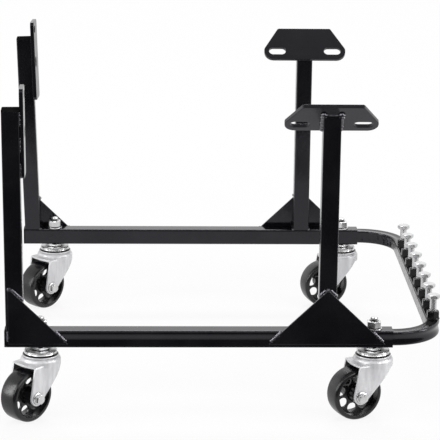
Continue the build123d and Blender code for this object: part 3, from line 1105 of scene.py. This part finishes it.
    def cap(self, place: Matrix) -> Shape:
        """Moulded cap with a softly rounded flange and a plug.

        Args:
            place: Move to the tube's end, with Z out of it.

        Returns:
            The cap in place.
        """
        flange = Shape()
        flange.thicken(flange.outline(rectangle(self.tube, self.tube, self.tube_corner)), self.cap_flange)
        flange.soften(self.cap_edge, self.cap_steps)
        width, length, corner = self.cap_plug
        plug = Shape()
        plug.thicken(plug.outline(rectangle(width, width, corner)), length)
        return flange.join(plug.lift(self.cap_sunk - length)).place(place)

    def seams(self) -> list[Seam]:
        """Middle lines and radii of the weld beads on this side.

        Returns:
            The beads' lines.
        """
        sign = self.side.value
        half = self.tube / 2
        lines: list[Seam] = []
        # Post feet, front and back
        for x in (self.rail_rear + self.tube, self.front_post_x - half, self.front_post_x + half):
            ends = [Vector((x, self.y + way * (half - self.foot_inset), self.rail_top)) for way in (-1, 1)]
            lines.append((*ends, self.foot_weld))
        # Mount plate, along the post's two sides and across its outer and inner faces
        place = self.mount_place()
        under = -self.mount_size[2] / 2
        slant = math.cos(math.radians(self.mount_tilt))
        low = under - (half + self.mount_offset) / slant
        high = under + (half - self.mount_offset) / slant
        for x in (-half, half):
            ends = [place @ Vector((x, y, under)) for y in (low, high + self.mount_weld_past)]
            lines.append((*ends, self.mount_weld))
        for y in (low, high):
            ends = [place @ Vector((x, y, under)) for x in (-half, half)]
            lines.append((*ends, self.mount_cross_weld))
        # Bell plate, in stitches along both edges of the post
        post = self.rear_post_place()
        bottom = self.rear_post_height + self.bell_rise - self.bell_size[1]
        for across in (sign * (half - self.bell_inset), -sign * half):
            for share in self.bell_stitches:
                spot = Vector((half, across, bottom + share * (self.rear_post_height - bottom)))
                lines.append((post @ spot, post @ (spot + self.bell_stitch * UP), self.bell_weld))
        return lines + self.gusset_seams(End.REAR) + self.gusset_seams(End.FRONT)

    def gusset_seams(self, end: End) -> list[Seam]:
        """Welds along a gusset's sloping edges, on the rail and on the post, and over its tip.

        Args:
            end: Which gusset.

        Returns:
            Middle lines and radii of the welds.
        """
        post_x = self.rail_rear + self.tube / 2 if end is End.REAR else self.front_post_x
        corners = [Vector((x, self.outer_y, z)) for x, z, _ in self.gusset_corners(end)]
        rear_foot, front_foot, front_tip, rear_tip = corners
        lines = []
        for foot, tip in ((front_foot, front_tip), (rear_foot, rear_tip)):
            slope = tip - foot
            away = Vector((slope.z, 0, -slope.x)).normalized() * math.copysign(1, -slope.x)
            sunk = (away + Vector((0, self.side.value, 0))) * -self.fillet_sunk
            rail = (self.rail_top - foot.z) / slope.z - self.weld_gap
            start = foot + slope * self.fillet_start
            lines.append((start + sunk, foot + slope * rail + sunk, self.fillet))
            if abs(slope.x) > self.gusset_tip:
                post_side = post_x + math.copysign(self.tube / 2, -slope.x)
                post = (post_side - foot.x) / slope.x + self.weld_gap
                out = away * self.stitch_out
                lines.append((foot + slope * post + out, tip + out, self.stitch))
        over = UP * self.stitch_out
        lines.append((front_tip + over, rear_tip + over, self.stitch))
        return lines

    def build(self) -> None:
        """Make and dress the pieces of this side."""
        word = self.side.word
        plates = {f"{end.value}_{word}_gusset": self.gusset(end) for end in End}
        plates[f"{word}_mount_plate"] = self.mount_plate()
        plates[f"{word}_bell_plate"] = self.bell_plate()
        for node, shape in plates.items():
            Dress(f"{node}_cut", "frame", Slot.PAINT, PAINT, (node,)).piece(shape)
        rail_end = Matrix.Translation((self.rail_rear, self.y, self.rail_bottom + self.tube / 2))
        post_end = Matrix.Translation((0, 0, self.rear_post_height))
        ends = {
            f"{word}_rail_cap": rail_end @ Matrix.Rotation(-math.pi / 2, 4, "Y"),
            f"rear_{word}_post_cap": self.rear_post_place() @ post_end,
        }
        for node, place in ends.items():
            Dress(f"{node}_moulded", "frame", Slot.CAP, CAP_PLASTIC, (node,)).piece(self.cap(place))
        beads = Shape().join(*[bead(*line) for line in self.seams()])
        Dress(f"{word}_welds", "frame", Slot.PAINT, WELD_PAINT).piece(beads)


@dataclass
class FrontBar:
    """Bent square tube, sunk on the outside of its bends and wrinkled on the inside."""

    size: float = 20.0
    corner: float = 2.5
    middle_z: float = 118.5
    cross_x: float = 344.0
    arm_y: float = 270.0
    arm_end: float = 226.0
    bend_radius: float = 64.0
    drawn: float = 0.3  # hollow of the upright faces all along
    sunk: float = 1.3  # further hollow of the outer face in a bend
    sunk_level: float = 0.7  # hollow of the upper and lower face there
    wrinkle: float = 0.9
    wrinkles: int = 7
    settle: float = 18.0  # length over which a bend begins or ends
    step: float = 1.5  # along the bends
    cuts: int = 9  # across each face

    @property
    def bend(self) -> Pair:
        """Start and end of a bend, along the bar from its middle."""
        start = self.arm_y - self.bend_radius
        return start, start + self.bend_radius * math.pi / 2

    def stations(self) -> list[float]:
        """Distances along the bar at which its section is set.

        Returns:
            The distances in order, from the bar's middle.
        """
        start, end = self.bend
        count = round((end - start + self.settle) / self.step)
        fine = [start - self.settle / 2 + index * self.step for index in range(count + 1)]
        half = [*fine, end + self.cross_x - self.bend_radius - self.arm_end]
        return [-place for place in reversed(half)] + half

    def bent(self, spot: Vector) -> Vector:
        """Place a point of the straight bar on the bent one.

        Args:
            spot: Outwards, up and along the straight bar.

        Returns:
            The point on the dolly.
        """
        out, up, along = spot
        flat = self.size / 2 - self.corner
        start, end = self.bend
        run = abs(along)
        bent = smooth((min(run - start, end - run) + self.settle / 2) / self.settle)
        fold = 0.5 - 0.5 * math.cos(2 * math.pi * self.wrinkles * (run - start) / (end - start))
        deep = self.drawn + bent * (self.sunk if out > 0 else self.wrinkle * fold)
        arch = {size: max(0.0, 1 - (size / flat) ** 2) ** 2 for size in (out, up)}
        radius = self.bend_radius + out - math.copysign(deep * arch[up], out)
        level = up - math.copysign(self.sunk_level * bent * arch[out], up)
        angle = max(0.0, min(math.pi / 2, (run - start) / self.bend_radius))
        x = self.cross_x - self.bend_radius + radius * math.cos(angle) - max(0.0, run - end)
        y = min(run, start) + radius * math.sin(angle)
        return Vector((x, math.copysign(y, along), self.middle_z + level))

    def tube(self) -> Shape:
        """The bar, drawn straight and then bent.

        Returns:
            The bar in place.
        """
        shape = Shape()
        bm = shape.bm
        edges = shape.outline(rectangle(self.size, self.size, self.corner))
        sides = [edge for edge in edges if edge.calc_length() > self.size / 2]
        bmesh.ops.subdivide_edges(bm, edges=sides, cuts=self.cuts)
        stations = self.stations()
        shape.lift(stations[0])
        edges = bm.edges[:]
        for last, place in zip(stations, stations[1:]):
            verts, edges = shape.extend(edges)
            bmesh.ops.translate(bm, vec=(0, 0, place - last), verts=verts)
        bmesh.ops.holes_fill(bm, edges=[edge for edge in bm.edges if edge.is_boundary])
        for vert in bm.verts:
            vert.co = self.bent(vert.co)
        return shape.close()

    def build(self) -> None:
        """Make and dress the bar."""
        Dress("front_bar_bent", "frame", Slot.PAINT, BAR_PAINT, ("front_bar",)).piece(self.tube())


@dataclass
class BoltRow:
    """Row of welded nuts on the front bar, with a bolt kept in each."""

    count: int = 8
    x: float = 344.0
    first_y: float = -211.7
    pitch: float = 54.3
    bar_top: float = 128.5
    bolt_radius: float = 5.0
    bolt_pitch: float = 1.5
    bolt_shown: float = 18.5
    thread_shown: float = 3.0
    shank_edge: float = 0.4
    head_flats: float = 17.0
    head_height: float = 6.4
    head_washer: float = 0.5
    nut_flats: float = 17.0
    nut_height: float = 12.0
    nut_weld: Profile = ((7.52, 0, 0), (10.62, 0, 0.3), (8.92, 2.2, 0.6), (7.52, 2.2, 0))

    def places(self) -> list[Matrix]:
        """Moves to each nut's foot."""
        steps = [self.first_y + index * self.pitch for index in range(self.count)]
        return [Matrix.Translation((self.x, y, self.bar_top)) for y in steps]

    def nuts(self) -> Shape:
        """Nuts with a weld fillet round their feet."""
        nut = hex_block(self.nut_flats, self.nut_height, self.bolt_radius + NUT_PLAY)
        return nut.join(lathe(self.nut_weld)).repeat(self.places())

    def bolts(self) -> Shape:
        """Bolts with hexagon heads, plain shanks and threads in the nuts.

        Returns:
            The bolts in place.
        """
        radius = self.bolt_radius
        low = self.nut_height + self.thread_shown
        under_head = self.nut_height + self.bolt_shown
        high = under_head + self.head_washer
        rod = thread(radius, self.bolt_pitch, 0, low).place(Matrix.Translation((0, 0, low)) @ FLIP)
        shank = lathe([(0, low, 0), (radius, low, self.shank_edge), (radius, high, 0), (0, high, 0)])
        head = hex_block(self.head_flats, self.head_height, PINHOLE, self.head_washer)
        head.place(Matrix.Translation((0, 0, under_head)) @ Matrix.Rotation(math.pi / 6, 4, "Z"))
        return rod.join(shank, head).repeat(self.places())

    def build(self) -> None:
        """Make and dress the row."""
        Dress("weld_nut_row", "frame", Slot.NUT, BLACK_NUT, ("weld_nuts",)).piece(self.nuts())
        Dress("bolt_row", "frame", Slot.BOLT, SATIN, ("storage_bolts",)).piece(self.bolts())


@dataclass
class Caster:
    """One swivel caster, drawn over its kingpin with X along the trail."""

    corner: str
    stem_radius: float = 6.0
    stem_pitch: float = 1.75
    stem_ends: Pair = (103.0, 149.4)
    washer: Profile = ((6.3, 131.4, 0), (12, 131.4, 0.4), (12, 133.4, 0.6), (6.3, 133.4, 0.3))
    nut_flats: float = 19.0
    nut_height: float = 10.5
    nut_washer: float = 0.4
    nut_foot: float = 133.4
    collar_flats: float = 24.0
    collar_bottom: float = 101.0
    collar_height: float = 5.0
    collar_bore: float = 4.0
    kingpin: Profile = ((0, 79.3, 0), (8, 79.3, 1), (8, 81.8, 0.3), (5, 81.8, 0), (5, 102, 0), (0, 102, 0))
    upper_race: Profile = (
        (5.05, 94.6, 0), (21.65, 94.6, 0.4), (24.25, 96.4, 0.7), (23.35, 97.9, 0.4),
        (24.25, 99.2, 0.7), (22.65, 101, 0.9), (5.05, 101, 0),
    )
    crown_top: float = 85.0  # upper face of the plate that the legs hang from
    crown_radius: float = 29.0
    crown: tuple[tuple[float, ...], ...] = (  # radius, height over the plate, what the flare adds to both
        (19, -2.7), (25, -2.7), (26.2, -4.4, 0, 2.2), (29.03, -4.4, 4.5, 4.25), (29.03, -1, 2.2, 1.3),
        (29.03, 1.4, 0.6), (28.78, 2.6), (28.23, 3.7), (27.43, 4.9), (26.5, 5.9), (25.6, 6.4), (25.6, 6.8),
        (26, 7.3), (26, 8.3), (25.7, 8.8), (25.1, 9), (19, 9),
    )
    flare_end: float = 50.0  # angle from the front where the crown's flare ends, degrees
    flare_fade: float = 20.0
    leg_front: float = 32.0  # front of the legs' upper ends
    leg_back: float = 21.0
    leg_bend: float = 3.5
    leg_end_radius: float = 11.5
    lip: float = 4.0  # how far the plate's front edge arches forward of the legs
    fork_width: float = 48.0
    sheet: float = 3.0
    sheet_edge: float = 0.5  # rounding of the sheet's outer edge
    sheet_merge: float = 0.3  # cuts nearer to each other than this are one
    skirt: float = 78.0  # lower edge of the crown's rim behind the legs
    trail: float = 29.0
    axle_z: float = 38.1
    axle_radius: float = 4.0
    axle_pitch: float = 1.25
    axle_flats: float = 13.0
    axle_head: float = 8.0
    axle_washer: float = 1.5
    axle_flange: Profile = ((0, 0, 0), (8.5, 0, 0), (8.5, 1.05, 0.4), (6.5, 1.9, 0.3), (0, 1.9, 0))
    axle_nut: float = 6.5
    axle_tail: float = 2.0
    rim: Profile = (  # one half of it, as of the hub
        (38.1, 15.5 / 3, 90), (37.3, 15.5, 4.5), (31, 15.5, 0.7), (30.6, 2, 1.2), (29.7, 1.4, 0),
    )
    hub: Profile = ((13.25, 1.7, 0), (11.65, 4, 0), (11.05, 20.5, 0.8), (6.05, 20.5, 0.5))
    web: float = 4.0
    web_radii: Pair = (31.4, 10.05)
    web_edge: float = 0.8
    holes: int = 8
    hole_radius: float = 7.0
    hole_circle: float = 22.5
    hole_turn: float = 10.0

    def joint(self, word: str) -> dict:
        """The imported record's joint of this caster, swivel or roll."""
        return next(item for item in frame["joints"] if item["name"] == f"{self.corner}_{word}")

    def upright_place(self) -> Matrix:
        """Move from the kingpin's foot to the dolly, unturned."""
        x, y, _ = self.joint("swivel")["pos_m"]
        return Matrix.Translation((x / METRE, y / METRE, 0))

    def turned_place(self) -> Matrix:
        """Move from the caster's own frame to the dolly."""
        along = Vector(self.joint("roll")["axis"]).cross(UP)
        return self.upright_place() @ Matrix.Rotation(math.atan2(along.y, along.x), 4, "Z")

    def axle_place(self, distance: float = 0.0) -> Matrix:
        """Move to the caster's frame from one on the axle, with Z along it, off the wheel's middle."""
        middle = Matrix.Translation((self.trail, distance, self.axle_z))
        return middle @ Matrix.Rotation(-math.pi / 2, 4, "X")

    def stem(self) -> Shape:
        """Threaded stem with its collar, kingpin and riveted head.

        Returns:
            The stem over the kingpin.
        """
        rod = thread(self.stem_radius, self.stem_pitch, *self.stem_ends)
        collar = hex_block(self.collar_flats, self.collar_height, self.collar_bore)
        return rod.join(collar.lift(self.collar_bottom), lathe(self.kingpin))

    def stem_nut(self) -> Shape:
        """Hexagon nut on the stem."""
        nut = hex_block(self.nut_flats, self.nut_height, self.stem_radius + NUT_PLAY, self.nut_washer)
        return nut.lift(self.nut_foot)

    def leg_planes(self) -> list[Plane]:
        """Planes round the legs' side view.

        Returns:
            The planes, from the rear edge over the round end to the front edge.
        """
        middle = Vector((self.trail, 0, self.axle_z))

        def tangent(x: float, z: float, way: int) -> float:
            """Angle of the normal of the line from a point that touches the round end."""
            reach = Vector((x, 0, z)) - middle
            return math.atan2(reach.z, reach.x) + way * math.acos(self.leg_end_radius / reach.length)

        rear = tangent(-self.leg_back, self.crown_top - self.sheet, 1)
        front = tangent(self.leg_front, self.crown_top, -1) + 2 * math.pi
        steps = 2 * ROUND_STEPS
        angles = [rear + (front - rear) * index / steps for index in range(steps + 1)]
        normals = [Vector((math.cos(angle), 0, math.sin(angle))) for angle in angles]
        return [(middle + normal * self.leg_end_radius, normal) for normal in normals]

    def wall(self) -> Shape:
        """Sheet round the back of the crown and down both legs.

        Returns:
            The sheet, still without thickness.
        """
        half = self.fork_width / 2
        reach = math.sqrt(self.crown_radius**2 - half**2)
        shape = Shape()
        bm = shape.bm
        start = bm.verts.new((reach, -half, self.crown_top))
        sweep = 2 * math.pi - 2 * math.asin(half / self.crown_radius)
        spun = bmesh.ops.spin(bm, geom=[start], axis=-UP, angle=sweep, steps=TURN_STEPS // 2)
        end = next(item for item in spun["geom_last"] if isinstance(item, BMVert))
        for vert, y in ((start, -half), (end, half)):
            bm.edges.new((vert, bm.verts.new((self.trail + self.leg_end_radius, y, self.crown_top))))
        fallen, _ = shape.extend(bm.edges[:])
        for vert in fallen:  # the round part runs out into the flat legs downwards
            vert.co.y = max(-half, min(half, vert.co.y))
            vert.co.z = self.axle_z - self.leg_end_radius
        # Side view of the legs, and a short rim behind them
        bmesh.ops.bisect_plane(bm, geom=shape.everything(), plane_co=UP * self.skirt, plane_no=UP)
        for plane in self.leg_planes():
            trim(bm, plane, lambda spot: spot.z < self.skirt or spot.x > 0)
        bmesh.ops.remove_doubles(bm, verts=bm.verts, dist=self.sheet_merge)
        return shape

    def fork(self) -> Shape:
        """Pressed fork: a bent sheet with two legs, and the raised lower race.

        Returns:
            The fork over the kingpin.
        """
        shape = self.wall()
        bm = shape.bm
        rim = [edge for edge in bm.edges if all(vert.co.z > self.crown_top - FINE for vert in edge.verts)]
        corners = {vert for edge in rim for vert in edge.verts}
        tips = sorted(corners, key=lambda vert: (round(vert.co.x), vert.co.y))[-2:]
        bmesh.ops.contextual_create(bm, geom=[*rim, *self.lip_edges(bm, *tips)])
        bmesh.ops.recalc_face_normals(bm, faces=bm.faces)
        shape.bevel(rim, self.leg_bend, ROUND_STEPS)
        bmesh.ops.recalc_face_normals(bm, faces=bm.faces)
        border = [edge for edge in bm.edges if edge.is_boundary]
        bmesh.ops.solidify(bm, geom=bm.faces[:], thickness=self.sheet)
        shape.bevel([edge for edge in border if edge.is_valid], self.sheet_edge, 2)
        return shape.join(tower([self.crown_ring(*row) for row in self.crown]))

    def lip_edges(self, bm: BMesh, first: BMVert, last: BMVert) -> list[BMEdge]:
        """Draw the plate's front edge, an arch from leg to leg.

        Args:
            bm: The fork's mesh.
            first: Front corner of one leg.
            last: Front corner of the other.

        Returns:
            The edges of the arch.
        """
        chain = [first]
        for index in range(1, ROUND_STEPS):
            share = index / ROUND_STEPS
            ahead = Vector((4 * self.lip * share * (1 - share), 0, 0))
            chain.append(bm.verts.new(first.co.lerp(last.co, share) + ahead))
        chain.append(last)
        return [bm.edges.new(pair) for pair in zip(chain, chain[1:])]

    def crown_ring(self, radius: float, height: float, wider: float = 0.0, higher: float = 0.0) -> Ring:
        """Ring of the crown, which runs into the wall behind and flares into the plate in front.

        Args:
            radius: Its radius.
            height: Its height over the plate.
            wider: What the flare adds to its radius.
            higher: What the flare adds to its height.

        Returns:
            The ring.
        """

        def at(angle: float) -> Pair:
            """Radius and height at an angle."""
            share = smooth((self.flare_end - math.degrees(abs(angle))) / self.flare_fade)
            return radius + wider * share, self.crown_top + height + higher * share

        return at

    def axle_bolt(self) -> Shape:
        """Flanged hexagon bolt through both legs.

        Returns:
            The bolt in place on the fork.
        """
        place = self.axle_place(self.fork_width / 2)
        head = hex_block(self.axle_flats, self.axle_head, PINHOLE, self.axle_washer)
        length = self.fork_width + self.axle_nut + self.axle_tail
        rod = thread(self.axle_radius, self.axle_pitch, 0, length).place(FLIP)
        return head.join(lathe(self.axle_flange), rod).place(place)

    def axle_nut_block(self) -> Shape:
        """Hexagon nut on the axle bolt."""
        nut = hex_block(self.axle_flats, self.axle_nut, self.axle_radius + NUT_PLAY)
        return nut.place(self.axle_place(-self.fork_width / 2) @ FLIP)

    def wheel(self) -> Shape:
        """Cast wheel: crowned rim, web with round holes, and hub.

        Returns:
            The wheel in place on the fork.
        """
        disc = Shape()
        edges = [edge for radius in self.web_radii for edge in disc.ring(0, 0, radius)]
        for index in range(self.holes):
            angle = math.radians(self.hole_turn) + 2 * math.pi * index / self.holes
            x, y = self.hole_circle * math.cos(angle), self.hole_circle * math.sin(angle)
            edges += disc.ring(x, y, self.hole_radius)
        disc.thicken(edges, self.web).soften(self.web_edge, EDGE_STEPS).lift(-self.web / 2)
        for half in (self.rim, self.hub):
            other = [(radius, -height, edge) for radius, height, edge in reversed(half)]
            disc.join(lathe([*half, *other]))
        return disc.place(self.axle_place() @ FLIP)

    def build(self) -> None:
        """Make and dress the caster's pieces."""
        caster = f"{self.corner}_caster"
        wheel = f"{self.corner}_wheel"
        rows = (
            ("stem", "turned", "frame", BRIGHT, self.stem()),
            ("washer", "turned", "frame", BRIGHT, lathe(self.washer)),
            ("stem_nut", "turned", "frame", BRIGHT, self.stem_nut()),
            ("upper_race", "turned", "frame", BRIGHT, lathe(self.upper_race)),
            ("fork", "pressed", caster, ZINC, self.fork()),
            ("axle_bolt", "pressed", caster, BRIGHT, self.axle_bolt()),
            ("axle_nut", "pressed", caster, BRIGHT, self.axle_nut_block()),
            ("wheel", "cast", wheel, WHEEL_BLACK, self.wheel()),
        )
        for piece, made, body, finish, shape in rows:
            node = f"{self.corner}_{piece}"
            slot = Slot.WHEEL if body == wheel else Slot.ZINC
            place = self.upright_place() if body == "frame" else self.turned_place()
            Dress(f"{node}_{made}", body, slot, finish, (node,)).piece(shape.place(place))


@dataclass(frozen=True)
class Lamp:
    """A soft lamp that faces the dolly."""

    name: str
    spot: Point
    size: Pair
    power: float  # in watts
    aim: Point = (0.0, 0.0, 0.2)

    def hang(self) -> None:
        """Hang the lamp in the studio."""
        data = bpy.data.lights.new(self.name, "AREA")
        data.shape = "RECTANGLE"
        data.size, data.size_y = self.size
        data.energy = self.power
        turn = (Vector(self.aim) - Vector(self.spot)).to_track_quat("-Z", "Y").to_matrix().to_4x4()
        put(self.name, data).matrix_world = Matrix.Translation(self.spot) @ turn


@dataclass
class Studio:
    """White table, bright surroundings with a dark side behind the camera, soft lamps and the camera."""

    camera_spot: Point = (-0.086634, -3.263674, 1.114594)
    yaw: float = 2.173
    pitch: float = 15.332
    roll: float = 0.738
    lens: float = 179.027
    sensor: float = 36.0
    sight: Pair = (0.1, 100.0)  # nearest and farthest that the camera shows
    table_reach: float = 40.0
    table_colour: Point = (0.8, 0.8, 0.8)
    table_rough: float = 0.9
    table_front: Pair = (-0.50, -0.38)  # where the table's white starts in reflections
    table_white: Pair = (0.86, 0.985)  # share of plain white in it, near the dolly and far off
    table_fade: Pair = (0.5, 1.6)  # distances between which that share changes
    table_mirrored: float = 0.8  # the table's white in reflections
    dark_side: Pair = (-0.60, 0.05)  # from the camera's side to the white round the rest
    dark_level: float = 0.04
    back_level: float = 1.1
    high: Pair = (0.35, 0.8)  # heights between which reflections dim
    high_level: float = 0.6
    soft_level: float = 0.55  # light from all round on dull surfaces
    lamps: tuple[Lamp, ...] = (
        Lamp("key", (-1.7, -2.0, 1.4), (1.4, 1.4), 22),
        Lamp("fill", (1.8, -1.9, 1.3), (1.4, 1.4), 20),
        Lamp("front", (0.0, -2.4, 1.8), (2.0, 0.8), 8),
        Lamp("left strip", (-2.4, -0.5, 0.9), (0.5, 1.6), 20),
        Lamp("right strip", (2.4, -0.5, 0.9), (0.5, 1.6), 20),
        Lamp("back", (0.0, 1.6, 2.2), (1.4, 0.6), 24),
    )

    def camera(self) -> None:
        """Set the camera at the photograph's viewing angle."""
        yaw, pitch, roll = (math.radians(angle) for angle in (self.yaw, self.pitch, self.roll))
        flat = Vector((math.sin(yaw), math.cos(yaw), 0))
        ahead = flat * math.cos(pitch) - UP * math.sin(pitch)
        level = ahead.cross(UP).normalized()
        upright = level.cross(ahead)
        right = level * math.cos(roll) + upright * math.sin(roll)
        up = upright * math.cos(roll) - level * math.sin(roll)
        data = bpy.data.cameras.new("camera")
        data.lens = self.lens
        data.sensor_width = self.sensor
        data.clip_start, data.clip_end = self.sight
        view = put("camera", data)
        turn = Matrix((right, up, -ahead)).transposed().to_4x4()
        view.matrix_world = Matrix.Translation(self.camera_spot) @ turn
        bpy.context.scene.camera = view

    def table(self) -> None:
        """Lay the white table, which keeps a faint shadow."""
        bm = bmesh.new()
        bmesh.ops.create_grid(bm, x_segments=1, y_segments=1, size=self.table_reach)
        mesh = bpy.data.meshes.new("table")
        bm.to_mesh(mesh)
        bm.free()
        top = put("table", mesh)
        surface = Surface("white table")
        surface.finish(Base_Color=(*self.table_colour, 1), Roughness=self.table_rough)
        path = surface.add("LightPath").outputs
        mirrored = path["Is Glossy Ray"]
        seen = surface.math("MAXIMUM", path["Is Camera Ray"], path["Is Transmission Ray"])
        distance = surface.math("LENGTH", surface.place, kind="VectorMath")
        plain = surface.ease(distance, self.table_fade, *self.table_white)
        share = surface.math("MAXIMUM", surface.math("MULTIPLY", seen, plain), mirrored)
        lit = surface.ease(surface.axis("Y"), self.table_front, self.dark_level, self.table_mirrored)
        strength = surface.math("MAXIMUM", lit, surface.math("SUBTRACT", 1.0, mirrored))
        mix = surface.add("MixShader", Fac=share)
        surface.feed(mix.inputs[1], surface.shader.outputs[0])
        surface.feed(mix.inputs[2], surface.add("Emission", Strength=strength).outputs[0])
        surface.wire(surface.tree.nodes["Material Output"], Surface=mix.outputs[0])
        mesh.materials.append(surface.material)

    def surroundings(self) -> None:
        """White all round to the eye; reflections find it dark on the camera's side."""
        world = bpy.data.worlds.new("studio")
        world.use_nodes = True
        bpy.context.scene.world = world
        graph = Graph(world.node_tree)
        way = graph.add("SeparateXYZ", Vector=graph.add("TexCoord").outputs["Generated"]).outputs
        wall = graph.ease(way["Y"], self.dark_side, self.dark_level, self.back_level)
        wall = graph.math("MULTIPLY", wall, graph.ease(way["Z"], self.high, 1.0, self.high_level))
        path = graph.add("LightPath").outputs
        mirrored = graph.math("MULTIPLY", path["Is Glossy Ray"], wall)
        dull = graph.math("MULTIPLY", path["Is Diffuse Ray"], self.soft_level)
        seen = graph.math("MAXIMUM", path["Is Camera Ray"], path["Is Transmission Ray"])
        level = graph.math("MAXIMUM", graph.math("MAXIMUM", mirrored, dull), seen)
        graph.wire(graph.tree.nodes["Background"], Color=(1, 1, 1, 1), Strength=level)

    def build(self) -> None:
        """Set up the studio."""
        self.camera()
        self.table()
        self.surroundings()
        for lamp in self.lamps:
            lamp.hang()
        bpy.context.scene.view_settings.view_transform = "Standard"


def dress_nodes() -> None:
    """Give every node of the frame its own finish or that of its slot."""
    slots = {item["node"]: Slot(item["material_slot"]) for item in frame["record"]["subparts"]}
    for node, piece in frame["nodes"].items():
        finish = OWN_FINISHES.get(node, NODE_FINISHES[slots[node]])
        piece.data.materials.clear()
        piece.data.materials.append(finish.material())


def main() -> None:
    """Build the studio and dress the dolly."""
    logging.basicConfig(level=logging.INFO, format="%(message)s")
    Studio().build()
    dress_nodes()
    SideFrame(Side.RIGHT, lean=0.5, twist=0.0).build()
    SideFrame(Side.LEFT, lean=1.9, twist=4.5).build()
    FrontBar().build()
    BoltRow().build()
    for corner in ("rear_right", "rear_left", "front_right", "front_left"):
        Caster(corner).build()


if __name__ == "__main__":
    main()
